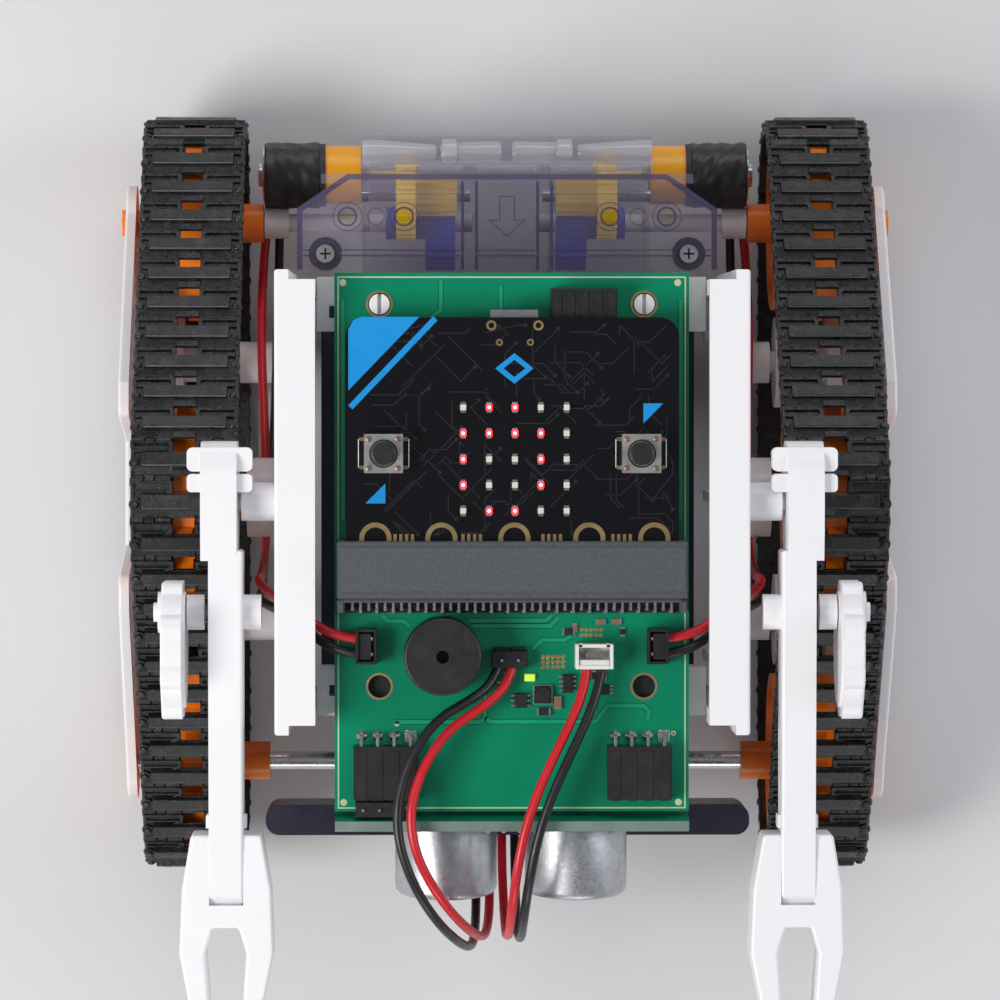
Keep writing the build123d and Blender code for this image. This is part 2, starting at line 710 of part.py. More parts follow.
motor_red = [
    (24.3, -21.2, 90.2),
    (27.6, -20.8, 90.2),
    (31.4, -18.6, 89.0),
    (35.6, -15.8, 86.6),
    (39.0, -13.6, 80.6),
    (39.9, -12.6, 71.6),
    (39.7, -12.8, 60.4),
    (39.6, -11.0, 48.8),
    (39.5, -5.4, 38.8),
    (39.8, 3.4, 30.5),
    (40.2, 12.4, 23.5),
    (40.8, 21.7, 18.2),
    (40.9, 30.5, 14.8),
    (40.6, 38.6, 12.4),
    (40.0, 44.6, 12.2),
    (39.6, 47.4, 14.0),
    (39.4, 48.5, 17.4),
]
motor_black = [
    (24.3, -23.6, 90.2),
    (27.8, -23.0, 90.0),
    (31.6, -20.4, 87.4),
    (35.6, -17.4, 84.0),
    (39.2, -16.0, 77.8),
    (40.0, -15.6, 68.8),
    (39.8, -15.8, 57.6),
    (39.8, -13.4, 46.0),
    (39.7, -7.0, 36.2),
    (39.4, 1.4, 28.0),
    (38.6, 10.6, 20.6),
    (38.4, 20.5, 16.2),
    (38.2, 30.5, 13.6),
    (38.0, 38.6, 11.8),
    (37.9, 44.4, 11.8),
    (37.8, 47.3, 13.8),
    (37.8, 48.5, 17.4),
]
lead(supply_red, "supply_lead_red")
lead(supply_black, "supply_lead_black")
lead(return_red, "return_lead_red")
lead(return_black, "return_lead_black")
for side, name in ((-1, "left"), (1, "right")):
    lead([(side * x, y, z) for x, y, z in motor_red], f"{name}_motor_lead_red")
    lead([(side * x, y, z) for x, y, z in motor_black], f"{name}_motor_lead_black")
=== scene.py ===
import json
from math import atan2, cos, hypot, pi, radians, sin
from random import Random

import bmesh
import bpy
from mathutils import Matrix, Vector


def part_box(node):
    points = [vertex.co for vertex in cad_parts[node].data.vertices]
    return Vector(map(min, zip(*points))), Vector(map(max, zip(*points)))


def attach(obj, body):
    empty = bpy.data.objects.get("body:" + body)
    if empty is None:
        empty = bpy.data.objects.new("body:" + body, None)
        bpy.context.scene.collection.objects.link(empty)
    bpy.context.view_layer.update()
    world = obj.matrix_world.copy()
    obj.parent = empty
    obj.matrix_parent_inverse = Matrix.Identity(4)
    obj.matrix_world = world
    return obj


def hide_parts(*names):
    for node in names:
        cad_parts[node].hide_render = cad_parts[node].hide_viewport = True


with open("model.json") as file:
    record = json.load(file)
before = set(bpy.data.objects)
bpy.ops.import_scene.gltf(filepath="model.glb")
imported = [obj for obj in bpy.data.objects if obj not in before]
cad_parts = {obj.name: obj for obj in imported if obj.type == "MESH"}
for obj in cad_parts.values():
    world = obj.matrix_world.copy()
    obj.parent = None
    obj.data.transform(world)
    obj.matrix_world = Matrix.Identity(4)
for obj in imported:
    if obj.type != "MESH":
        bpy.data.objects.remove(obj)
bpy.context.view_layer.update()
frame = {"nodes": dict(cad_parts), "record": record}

# Lengths below are millimetres, measured from the apex axles in Y, and turned into metres by MM.
MM = 0.001
nodes = frame["nodes"]


def middle(node):
    """The centre of a CAD node's box, in millimetres in the row frame."""
    low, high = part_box(node)
    return [(a + b) / 2 / MM for a, b in zip(low, high)]


apex_y = middle("right_apex_wheel")[1]
track_x = middle("right_track_links")[0]
apex_axle = (0.0, middle("right_apex_wheel")[2])
rear_axle = (middle("right_drive_wheel")[1] - apex_y, middle("right_drive_wheel")[2])
front_axle = (middle("right_front_wheel")[1] - apex_y, rear_axle[1])


def top_of(node):
    """The height of a CAD node's box, in millimetres."""
    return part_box(node)[1][2] / MM


board_top = top_of("main_board")
controller_top = top_of("controller_board")
UP = (0, 0, 1)


def at(x, y, z):
    """A point given from the apex axles, in metres in the row frame."""
    return Vector((x, y + apex_y, z)) * MM


# ---------------------------------------------------------------- camera, floor and lights

camera_height, camera_x, camera_y = 1000.0, -14.0, 21.0
aim = at(-1.86, 0.28, 90.0)
lens_mm, sensor_mm = 211.0, 36.0

camera_data = bpy.data.cameras.new("camera")
camera_data.lens = lens_mm
camera_data.sensor_width = sensor_mm
camera_data.clip_start = 0.01
camera = bpy.data.objects.new("camera", camera_data)
bpy.context.scene.collection.objects.link(camera)
camera.location = at(camera_x, camera_y, camera_height)
sight = (aim - camera.location).normalized()
across = sight.cross(Vector((0, 1, 0))).normalized()
camera.rotation_euler = Matrix((across, across.cross(sight), -sight)).transposed().to_euler()
bpy.context.scene.camera = camera
bpy.context.scene.view_settings.view_transform = "Standard"


def area_light(name, place, target, size, power, colour=(1, 1, 1)):
    """A soft rectangular lamp that points at a target."""
    lamp = bpy.data.lights.new(name, "AREA")
    lamp.shape = "RECTANGLE"
    lamp.size, lamp.size_y = size
    lamp.energy = power
    lamp.color = colour
    holder = bpy.data.objects.new(name, lamp)
    bpy.context.scene.collection.objects.link(holder)
    holder.location = place
    holder.rotation_euler = (Vector(target) - Vector(place)).to_track_quat("-Z", "Y").to_euler()


area_light("key", (-0.5, -0.15, 0.6), (0, 0, 0.05), (0.35, 0.35), 4.4, (1.0, 0.985, 0.96))
area_light("fill", (0.6, 0.1, 0.42), (0, 0, 0.05), (0.3, 0.6), 1.8, (0.94, 0.96, 1.0))
area_light("back", (0.05, 0.75, 0.4), (0, 0, 0.05), (0.7, 0.2), 1.9)
area_light("front", (0.05, -0.75, 0.35), (0, 0, 0.05), (0.6, 0.2), 1.5)

world = bpy.data.worlds.new("studio")
bpy.context.scene.world = world
world.use_nodes = True
world.node_tree.nodes["Background"].inputs["Color"].default_value = (0.9, 0.92, 1.0, 1)
world.node_tree.nodes["Background"].inputs["Strength"].default_value = 0.22

# ---------------------------------------------------------------- materials


def new_material(name):
    """A node material with its shader and an object-space coordinate."""
    made = bpy.data.materials.new(name)
    made.use_nodes = True
    tree = made.node_tree
    shader = tree.nodes["Principled BSDF"]
    coords = tree.nodes.new("ShaderNodeTexCoord")
    return made, tree, shader, coords.outputs["Object"]


def noise_of(tree, coords, size_mm, detail=4.0, roughness=0.6):
    """A noise whose blotches are about size_mm across."""
    node = tree.nodes.new("ShaderNodeTexNoise")
    node.inputs["Scale"].default_value = 1 / (size_mm * MM)
    node.inputs["Detail"].default_value = detail
    node.inputs["Roughness"].default_value = roughness
    tree.links.new(coords, node.inputs["Vector"])
    return node.outputs["Fac"]


def spread(tree, value, low, high, start=0.3, end=0.7):
    """value between start and end, spread to low and high."""
    node = tree.nodes.new("ShaderNodeMapRange")
    for socket, number in zip(("From Min", "From Max", "To Min", "To Max"), (start, end, low, high)):
        node.inputs[socket].default_value = number
    tree.links.new(value, node.inputs["Value"])
    return node.outputs["Result"]


def blend_colours(tree, factor, first, second):
    """A colour from first to second; each is a colour or an output."""
    node = tree.nodes.new("ShaderNodeMix")
    node.data_type = "RGBA"
    tree.links.new(factor, node.inputs["Factor"])
    for socket, colour in ((node.inputs[6], first), (node.inputs[7], second)):
        if isinstance(colour, (tuple, list)):
            socket.default_value = (*colour, 1)
        else:
            tree.links.new(colour, socket)
    return node.outputs[2]


def roughen(tree, shader, heights, strength, depth_mm=0.05):
    """Bump from a height output."""
    node = tree.nodes.new("ShaderNodeBump")
    node.inputs["Strength"].default_value = strength
    node.inputs["Distance"].default_value = depth_mm * MM
    tree.links.new(heights, node.inputs["Height"])
    tree.links.new(node.outputs["Normal"], shader.inputs["Normal"])


def plain(name, colour, rough, metal=0.0, vary=0.1, vary_mm=9.0, grain_mm=0.5, bump=0.25, coat=0.0):
    """A moulded or metal surface: slow colour drift, uneven gloss and a fine grain."""
    made, tree, shader, coords = new_material(name)
    drift = noise_of(tree, coords, vary_mm)
    dark = tuple(c * (1 - vary) for c in colour)
    light = tuple(min(1.0, c * (1 + vary)) for c in colour)
    tree.links.new(blend_colours(tree, drift, dark, light), shader.inputs["Base Color"])
    gloss = spread(tree, noise_of(tree, coords, vary_mm / 3), rough * 0.8, min(1, rough * 1.25))
    tree.links.new(gloss, shader.inputs["Roughness"])
    shader.inputs["Metallic"].default_value = metal
    shader.inputs["Coat Weight"].default_value = coat
    roughen(tree, shader, noise_of(tree, coords, grain_mm, 3.0), bump)
    return made


def track_plastic(name):
    """Black moulded links, scuffed grey on their raised parts, with a glossy wrinkled skin."""
    made, tree, shader, coords = new_material(name)
    scuffs = spread(tree, noise_of(tree, coords, 2.2, 8.0, 0.75), 0, 1, 0.52, 0.7)
    dust = spread(tree, noise_of(tree, coords, 9.0, 5.0), 0, 1, 0.45, 0.75)
    worn = blend_colours(tree, scuffs, (0.008, 0.008, 0.009), (0.05, 0.05, 0.052))
    tree.links.new(
        blend_colours(tree, dust, worn, (0.024, 0.023, 0.022)), shader.inputs["Base Color"]
    )
    tree.links.new(
        spread(tree, noise_of(tree, coords, 1.4, 6.0), 0.16, 0.48), shader.inputs["Roughness"]
    )
    roughen(tree, shader, noise_of(tree, coords, 0.7, 7.0, 0.7), 0.8, 0.16)
    return made


def clear_smoke(name, tint, rough, density):
    """Thin clear moulded plastic: a smoky film that lets most of the light through."""
    made, tree, shader, coords = new_material(name)
    drift = noise_of(tree, coords, 14.0)
    dark = tuple(c * 0.8 for c in tint)
    tree.links.new(blend_colours(tree, drift, dark, tint), shader.inputs["Base Color"])
    shader.inputs["Alpha"].default_value = density
    shader.inputs["Roughness"].default_value = rough
    shader.inputs["Specular IOR Level"].default_value = 0.8
    roughen(tree, shader, noise_of(tree, coords, 5.0, 2.0), 0.12, 0.1)
    return made


def banded(name, limit_mm, inner, outer, inner_rough, outer_rough, grain_mm=0.6, bump=0.6):
    """Two finishes on a piece that lies along X: inner up to limit_mm from the middle, then outer."""
    made, tree, shader, coords = new_material(name)
    split = tree.nodes.new("ShaderNodeSeparateXYZ")
    tree.links.new(coords, split.inputs["Vector"])
    distance = tree.nodes.new("ShaderNodeMath")
    distance.operation = "ABSOLUTE"
    tree.links.new(split.outputs["X"], distance.inputs[0])
    beyond = tree.nodes.new("ShaderNodeMath")
    beyond.operation = "GREATER_THAN"
    beyond.inputs[1].default_value = limit_mm * MM
    tree.links.new(distance.outputs["Value"], beyond.inputs[0])
    factor = beyond.outputs["Value"]
    drift = noise_of(tree, coords, 2.5, 6.0)
    inner_colour = blend_colours(tree, drift, tuple(c * 0.9 for c in inner), inner)
    outer_colour = blend_colours(tree, drift, tuple(c * 0.6 for c in outer), outer)
    tree.links.new(
        blend_colours(tree, factor, inner_colour, outer_colour), shader.inputs["Base Color"]
    )
    tree.links.new(spread(tree, factor, inner_rough, outer_rough, 0, 1), shader.inputs["Roughness"])
    roughen(tree, shader, noise_of(tree, coords, grain_mm, 6.0), bump, 0.08)
    return made


def solder_mask(name, colour, weave):
    """A coated board: glossy lacquer over a faint weave."""
    made, tree, shader, coords = new_material(name)
    drift = noise_of(tree, coords, 16.0, 2.0)
    dark = tuple(c * (1 - weave) for c in colour)
    tree.links.new(blend_colours(tree, drift, dark, colour), shader.inputs["Base Color"])
    waves = tree.nodes.new("ShaderNodeTexWave")
    waves.inputs["Scale"].default_value = 1 / (2.2 * MM)
    waves.inputs["Distortion"].default_value = 1.5
    tree.links.new(coords, waves.inputs["Vector"])
    shader.inputs["Roughness"].default_value = 0.26
    shader.inputs["Specular IOR Level"].default_value = 0.35
    roughen(tree, shader, waves.outputs["Fac"], 0.05, 0.02)
    return made


def grille(name):
    """Fine woven wire: bright threads over dark gaps."""
    made, tree, shader, coords = new_material(name)
    cells = tree.nodes.new("ShaderNodeTexVoronoi")
    cells.inputs["Scale"].default_value = 1 / (0.7 * MM)
    cells.inputs["Randomness"].default_value = 0.15
    tree.links.new(coords, cells.inputs["Vector"])
    holes = spread(tree, cells.outputs["Distance"], 0, 1, 0.3, 0.45)
    tree.links.new(
        blend_colours(tree, holes, (0.01, 0.01, 0.01), (0.45, 0.45, 0.46)), shader.inputs["Base Color"]
    )
    shader.inputs["Metallic"].default_value = 0.7
    shader.inputs["Roughness"].default_value = 0.4
    roughen(tree, shader, holes, 0.8, 0.2)
    return made


def glowing(name, colour, strength):
    """A lit lamp face."""
    made, tree, shader, coords = new_material(name)
    drift = noise_of(tree, coords, 0.6, 2.0)
    tree.links.new(
        blend_colours(tree, drift, tuple(c * 0.7 for c in colour), colour),
        shader.inputs["Base Color"],
    )
    shader.inputs["Emission Color"].default_value = (*colour, 1)
    shader.inputs["Emission Strength"].default_value = strength
    shader.inputs["Roughness"].default_value = 0.4
    return made


materials = {
    "white_plastic": plain("white_plastic", (0.86, 0.85, 0.87), 0.36, vary=0.02, bump=0.1),
    "road_white": plain("road_white", (0.8, 0.79, 0.82), 0.4, vary=0.04),
    "orange_plastic": plain("orange_plastic", (0.86, 0.2, 0.008), 0.34, vary=0.12, bump=0.3),
    "track_black": track_plastic("track_black"),
    # Painted highlight: a light grey for the strips that stand in for the lit front edges of the track links
    "track_edge_highlight": plain("track_edge_highlight", (0.16, 0.16, 0.16), 0.3, vary=0.6, vary_mm=1.6, grain_mm=0.3),
    "smoke_plastic": plain("smoke_plastic", (0.014, 0.012, 0.03), 0.34, vary=0.15, coat=0.06),
    "clear_smoke": clear_smoke("clear_smoke", (0.33, 0.29, 0.42), 0.08, 0.19),
    "clear_edge": clear_smoke("clear_edge", (0.1, 0.08, 0.17), 0.12, 0.72),
    "clear_ring": clear_smoke("clear_ring", (0.05, 0.045, 0.08), 0.2, 0.9),
    "clear_bright": clear_smoke("clear_bright", (0.75, 0.74, 0.78), 0.1, 0.4),
    "steel": plain("steel", (0.62, 0.62, 0.64), 0.28, metal=1.0, grain_mm=0.2),
    "motor_black": banded(
        "motor_black", 30.0, (0.95, 0.42, 0.01), (0.03, 0.03, 0.032), 0.35, 0.55
    ),
    "gear_yellow": plain("gear_yellow", (0.98, 0.68, 0.05), 0.35),
    "gear_blue": plain("gear_blue", (0.04, 0.07, 0.75), 0.35),
    "rubber_black": plain("rubber_black", (0.014, 0.014, 0.015), 0.5),
    "board_green": solder_mask("board_green", (0.0, 0.29, 0.145), 0.4),
    "board_black": solder_mask("board_black", (0.004, 0.004, 0.006), 0.2),
    "connector_grey": plain("connector_grey", (0.075, 0.08, 0.095), 0.5, vary=0.5, vary_mm=0.5),
    "socket_black": plain("socket_black", (0.013, 0.013, 0.014), 0.42, vary=0.3),
    "led_pale": plain("led_pale", (0.7, 0.68, 0.58), 0.35),
    "button_silver": plain("button_silver", (0.5, 0.49, 0.47), 0.38, metal=0.9, vary=0.2),
    "transducer_metal": plain(
        "transducer_metal", (0.5, 0.51, 0.54), 0.42, metal=1.0, vary=0.3, vary_mm=1.2, bump=0.6
    ),
    "lead_red": plain("lead_red", (0.56, 0.012, 0.022), 0.33, vary=0.15),
    "lead_black": plain("lead_black", (0.012, 0.012, 0.013), 0.36, vary=0.3),
    "gold": plain("gold", (0.82, 0.6, 0.28), 0.28, metal=1.0),
    "tin": plain("tin", (0.66, 0.66, 0.68), 0.25, metal=1.0, grain_mm=0.3, bump=0.5),
    "print_blue": plain("print_blue", (0.0, 0.27, 0.67), 0.42, vary=0.05),
    "print_white": plain("print_white", (0.75, 0.78, 0.75), 0.5, vary=0.1),
    "trace_dark": plain("trace_dark", (0.022, 0.022, 0.027), 0.25, vary=0.2),
    "trace_gap": plain("trace_gap", (0.0, 0.045, 0.025), 0.4, vary=0.2),
    "laminate": plain("laminate", (0.16, 0.22, 0.19), 0.7, vary=0.5),
    "trace_green": plain("trace_green", (0.0, 0.34, 0.16), 0.3, vary=0.1),
    "copper_line": plain("copper_line", (0.55, 0.62, 0.4), 0.35, vary=0.15),
    "hole_dark": plain("hole_dark", (0.004, 0.004, 0.004), 0.7),
    "socket_white": plain("socket_white", (0.78, 0.76, 0.72), 0.4, vary=0.05),
    "chip_brown": plain("chip_brown", (0.25, 0.14, 0.07), 0.45),
    "chip_green": glowing("chip_green", (0.55, 0.75, 0.1), 0.6),
    "lamp_red": glowing("lamp_red", (1.0, 0.02, 0.03), 5.0),
    "lamp_core": glowing("lamp_core", (1.0, 0.25, 0.2), 12.0),
    "tape_black": plain("tape_black", (0.016, 0.016, 0.017), 0.42, vary=0.7, vary_mm=1.0, bump=0.8),
    "rivet_brown": plain("rivet_brown", (0.4, 0.27, 0.2), 0.3, metal=0.9, vary=0.15),
    "grille_mesh": grille("grille_mesh"),
}
shaft_finish = banded(
    "shaft_finish", 41.0, (0.84, 0.83, 0.85), (0.6, 0.6, 0.62), 0.38, 0.3, bump=0.1
)

for part in frame["record"]["subparts"]:
    holder = nodes[part["node"]]
    finish = materials[part["material_slot"]]
    if part["node"].endswith("output_shaft"):
        finish = shaft_finish
    if not holder.data.materials:
        holder.data.materials.append(finish)
    for place in holder.material_slots:
        place.material = finish

floor_mesh = bpy.data.meshes.new("floor")
floor_half = 3.0
floor_mesh.from_pydata(
    [(x * floor_half, y * floor_half, 0) for x, y in ((-1, -1), (1, -1), (1, 1), (-1, 1))],
    [],
    [(0, 1, 2, 3)],
)
floor = bpy.data.objects.new("floor", floor_mesh)
bpy.context.scene.collection.objects.link(floor)
floor_mesh.materials.append(plain("floor_pale", (0.7, 0.7, 0.71), 0.75, vary=0.02, vary_mm=60, bump=0.0))

# ---------------------------------------------------------------- mesh building


class Piece:
    """Gathers boxes, rods, plates and turned shapes, in millimetres, in one mesh."""

    def __init__(self, name):
        self.name = name
        self.mesh = bmesh.new()
        self.turn = Matrix.Identity(4)

    def vertices(self, points):
        return [self.mesh.verts.new(self.turn @ Vector(point)) for point in points]

    def box(self, x, y, z, taper=0.0):
        """A box between three pairs of limits, its top drawn in by taper along X and Y."""
        corners = []
        for level, inset in ((z[0], 0.0), (z[1], taper)):
            corners += [
                (x[0] + inset, y[0] + inset, level),
                (x[1] - inset, y[0] + inset, level),
                (x[1] - inset, y[1] - inset, level),
                (x[0] + inset, y[1] - inset, level),
            ]
        v = self.vertices(corners)
        sides = ((0, 3, 2, 1), (4, 5, 6, 7), (0, 1, 5, 4), (1, 2, 6, 5), (2, 3, 7, 6), (3, 0, 4, 7))
        for side in sides:
            self.mesh.faces.new([v[i] for i in side])

    def prism(self, outline, z):
        """A flat shape of (x, y) corners, from z[0] up to z[1]."""
        low = self.vertices([(px, py, z[0]) for px, py in outline])
        high = self.vertices([(px, py, z[1]) for px, py in outline])
        self.mesh.faces.new(low[::-1])
        self.mesh.faces.new(high)
        for i in range(len(outline)):
            j = (i + 1) % len(outline)
            self.mesh.faces.new((low[i], low[j], high[j], high[i]))

    def turned(self, base, axis, profile, sides=24):
        """A solid of revolution: profile is (distance along the axis, radius) from end to end."""
        quat = Vector(axis).to_track_quat("Z", "Y")
        rings = []
        for along, radius in profile:
            ring = []
            for i in range(sides):
                angle = 2 * pi * i / sides
                spoke = Vector((radius * cos(angle), radius * sin(angle), along))
                ring.append(Vector(base) + quat @ spoke)
            rings.append(self.vertices(ring))
        for ring, nxt in zip(rings, rings[1:]):
            for i in range(sides):
                j = (i + 1) % sides
                self.mesh.faces.new((ring[i], ring[j], nxt[j], nxt[i]))
        self.mesh.faces.new(rings[0][::-1])
        self.mesh.faces.new(rings[-1])

    def skin(self, rows, closed):
        """The faces around rows of four corners, joined in a loop or capped at both ends."""
        pairs = list(zip(rows, rows[1:])) + ([(rows[-1], rows[0])] if closed else [])
        for row, nxt in pairs:
            for k in range(4):
                m = (k + 1) % 4
                self.mesh.faces.new((row[k], row[m], nxt[m], nxt[k]))
        if not closed:
            self.mesh.faces.new(rows[0][::-1])
            self.mesh.faces.new(rows[-1])

    def ring(self, centre, inner, outer, z, sides=32, start=0.0, sweep=2 * pi):
        """A flat ring, or a part of one, with its thickness."""
        whole = abs(sweep - 2 * pi) < 1e-6
        count = sides if whole else sides + 1
        rows = []
        for i in range(count):
            angle = start + sweep * i / sides
            spoke = Vector((cos(angle), sin(angle)))
            near = Vector(centre) + spoke * inner
            far = Vector(centre) + spoke * outer
            rows.append(
                self.vertices([(*near, z[0]), (*far, z[0]), (*far, z[1]), (*near, z[1])])
            )
        self.skin(rows, whole)

    def strip(self, points, width, z):
        """A flat ribbon along (x, y) points, mitred at its corners and closed if they close."""
        closed = points[0] == points[-1]
        route = [Vector(p) for p in (points[:-1] if closed else points)]
        rows = []
        for i, here in enumerate(route):
            before = route[i - 1] if closed or i else None
            after = route[(i + 1) % len(route)] if closed or i < len(route) - 1 else None
            into = (here - before).normalized() if before is not None else None
            out = (after - here).normalized() if after is not None else into
            into = into if into is not None else out
            across = Vector((-into.y - out.y, into.x + out.x)).normalized()
            reach = width / 2 / max(0.4, across.dot(Vector((-into.y, into.x))))
            near, far = here - across * reach, here + across * reach
            rows.append(self.vertices([(*near, z[0]), (*far, z[0]), (*far, z[1]), (*near, z[1])]))
        self.skin(rows, closed)

    def done(self, material, body="chassis", bevel=0.0, stands_for=(), slot=None, smooth=40):
        """The finished object, riding on its body."""
        bmesh.ops.recalc_face_normals(self.mesh, faces=self.mesh.faces)
        if bevel:
            sharp = [
                e for e in self.mesh.edges if len(e.link_faces) == 2 and e.calc_face_angle(0) > 0.7
            ]
            bmesh.ops.bevel(
                self.mesh, geom=sharp, offset=bevel, segments=2, affect="EDGES", clamp_overlap=True
            )
        for vertex in self.mesh.verts:
            vertex.co = at(*vertex.co)
        data = bpy.data.meshes.new(self.name)
        self.mesh.to_mesh(data)
        self.mesh.free()
        return finish_mesh(data, self.name, material, body, stands_for, smooth)


def finish_mesh(data, name, material, body, stands_for=(), smooth=40):
    """An object from a mesh that is in the row frame, with its material and body."""
    data.polygons.foreach_set("use_smooth", [True] * len(data.polygons))
    data.set_sharp_from_angle(angle=radians(smooth))
    data.materials.append(materials[material])
    piece = bpy.data.objects.new(name, data)
    bpy.context.scene.collection.objects.link(piece)
    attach(piece, body)
    if stands_for:
        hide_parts(*stands_for)
    return piece


# ---------------------------------------------------------------- belts

link_count = 49
link_pitch = 6.35
slope_length = hypot(rear_axle[0], apex_axle[1] - rear_axle[1])
slope_angle = atan2(apex_axle[1] - rear_axle[1], rear_axle[0])
belt_radius = (link_count * link_pitch - 2 * rear_axle[0] - 2 * slope_length) / (2 * pi)
belt_runs = (
    (rear_axle[0], 0),
    (0, pi - slope_angle),
    (slope_length, 0),
    (0, 2 * slope_angle),
    (slope_length, 0),
    (0, pi - slope_angle),
    (rear_axle[0], 0),
)


def belt_point(distance):
    """The point (y, z) on the pitch line, from the middle of the ground run, front first."""
    y, z, heading = 0.0, rear_axle[1] - belt_radius, pi
    for length, turn in belt_runs:
        step = min(distance, length or belt_radius * turn)
        if length:
            y += step * cos(heading)
            z += step * sin(heading)
        else:
            centre_y = y + belt_radius * sin(heading)
            centre_z = z - belt_radius * cos(heading)
            heading -= step / belt_radius
            y = centre_y - belt_radius * sin(heading)
            z = centre_z + belt_radius * cos(heading)
        distance -= step
        if distance <= 0:
            break
    return y, z


def draw_link(piece):
    """One belt link: x across, y along its travel and z outwards, about its own middle."""
    for side in (-1, 1):

        def across(low, high):
            return tuple(sorted((side * low, side * high)))

        piece.box(across(1.7, 8.4), (-2.95, 2.95), (-1.0, 0.7))
        piece.box(across(2.0, 8.2), (2.55, 2.95), (0.6, 1.15), 0.06)
        piece.box(across(2.4, 8.2), (1.15, 1.55), (0.6, 1.1), 0.06)
        piece.box(across(7.75, 8.35), (-2.6, 2.9), (0.6, 1.0), 0.06)
        piece.prism(
            [(side * 1.72, 0.9), (side * 1.72, 2.9), (side * 2.7, 2.9), (side * 2.3, 2.0),
             (side * 2.6, 1.3), (side * 3.4, 0.9)][:: side],
            (0.6, 1.2),
        )
        piece.turned((side * 7.62, -0.75, 0.6), UP, ((0, 1.05), (0.55, 1.0)), 12)
        piece.turned((side * 7.62, -0.75, 1.1), UP, ((0, 0.62), (0.3, 0.6), (0.48, 0.34)), 12)
        for y, spans in ((-link_pitch / 2, ((2.0, 4.5), (6.3, 8.3))), (link_pitch / 2, ((4.65, 6.15),))):
            for span in spans:
                low, high = across(*span)
                piece.turned((low, y, 0), (1, 0, 0), ((0, 0.9), (high - low, 0.9)), 10)
        low, high = across(8.2, 8.52)
        piece.turned((low, link_pitch / 2 - 0.4, 0), (1, 0, 0), ((0, 0.75), (high - low, 0.75)), 10)
    # The raised bar, with two shallow round pads, and the slope in front of it
    piece.box((-6.8, 6.8), (-1.5, 0.95), (0.6, 1.92), 0.16)
    for x in (-4.9, 4.9):
        piece.turned((x, -0.27, 1.8), UP, ((0, 0.95), (0.16, 0.86)), 14)
    piece.box((-1.8, 1.8), (-2.9, 1.0), (0.9, 1.15))
    v = piece.vertices(
        [(-8.3, -2.9, 0.5), (8.3, -2.9, 0.5), (8.3, -1.3, 0.5), (-8.3, -1.3, 0.5),
         (-8.3, -1.3, 1.25), (8.3, -1.3, 1.25)]
    )
    for side in ((0, 3, 2, 1), (0, 1, 5, 4), (2, 3, 4, 5), (1, 2, 5), (0, 4, 3)):
        piece.mesh.faces.new([v[i] for i in side])


def make_belt(draw, side, name, material, bevel, stands_for=()):
    """One drawing repeated on every link of a belt, in one mesh."""
    single = Piece(name)
    draw(single)
    bmesh.ops.recalc_face_normals(single.mesh, faces=single.mesh.faces)
    sharp = [e for e in single.mesh.edges if len(e.link_faces) == 2 and e.calc_face_angle(0) > 0.8]
    bmesh.ops.bevel(
        single.mesh, geom=sharp, offset=bevel, segments=1, affect="EDGES", clamp_overlap=True
    )
    single.mesh.verts.index_update()
    points = [v.co.copy() for v in single.mesh.verts]
    faces = [[v.index for v in f.verts] for f in single.mesh.faces]
    single.mesh.free()
    all_points, all_faces = [], []
    for index in range(link_count):
        y0, z0 = belt_point(index * link_pitch)
        y1, z1 = belt_point((index + 1) * link_pitch)
        heading = atan2(z1 - z0, y1 - y0)
        base = len(all_points)
        for p in points:
            y = (y0 + y1) / 2 + p.y * cos(heading) - p.z * sin(heading)
            z = (z0 + z1) / 2 + p.y * sin(heading) + p.z * cos(heading)
            all_points.append(at(side * track_x + p.x, y, z))
        all_faces += [[base + i for i in face] for face in faces]
    data = bpy.data.meshes.new(name)
    data.from_pydata(all_points, [], all_faces)
    finish_mesh(data, name, material, "chassis", stands_for, 30)


def draw_edge_highlight(piece):
    """Painted highlight: bright strips along the front edges of one link's bar and pin bosses, standing in
    for their lit edges.
    """
    piece.box((-6.55, 6.55), (-1.46, -1.3), (1.66, 1.84), 0.04)
    for side in (-1, 1):
        low, high = sorted((side * 3.2, side * 8.0))
        piece.box((low, high), (-2.98, -2.9), (0.45, 0.62), 0.02)


for side, word in ((-1, "left"), (1, "right")):
    make_belt(draw_link, side, f"{word}_track", "track_black", 0.07, (f"{word}_track_links",))
    # A second belt of thin bright strips: painted highlight on the links' front edges
    make_belt(draw_edge_highlight, side, f"{word}_track_edge_highlight", "track_edge_highlight", 0.02)

# ---------------------------------------------------------------- leads

lead_diameter = 1.5
supply_red = [
    (0.0, -25.9, 89.6), (-0.9, -28.9, 90.2), (-4.5, -31.8, 91.6), (-9.3, -34.8, 92.8),
    (-12.4, -38.6, 93.6), (-14.8, -43.4, 94.0), (-15.9, -48.6, 94.6), (-15.1, -54.0, 94.4),
    (-12.6, -59.4, 92.8), (-9.2, -64.4, 88.8), (-6.0, -68.0, 81.6), (-4.2, -69.6, 71.6),
    (-3.4, -68.8, 60.4), (-3.0, -65.4, 49.8), (-3.0, -60.6, 41.6), (-3.0, -55.5, 37.6),
]
supply_black = [
    (-2.2, -25.9, 89.6), (-3.3, -28.6, 90.6), (-6.7, -30.8, 92.2), (-11.3, -33.4, 93.4),
    (-14.4, -37.2, 94.2), (-16.9, -42.6, 94.4), (-18.0, -48.6, 94.8), (-17.2, -54.4, 94.6),
    (-14.8, -60.4, 93.4), (-11.4, -65.8, 89.4), (-8.0, -69.6, 81.8), (-6.2, -71.2, 71.4),
    (-5.5, -70.2, 60.0), (-5.2, -66.6, 49.6), (-5.2, -61.2, 41.4), (-5.2, -55.5, 37.6),
]
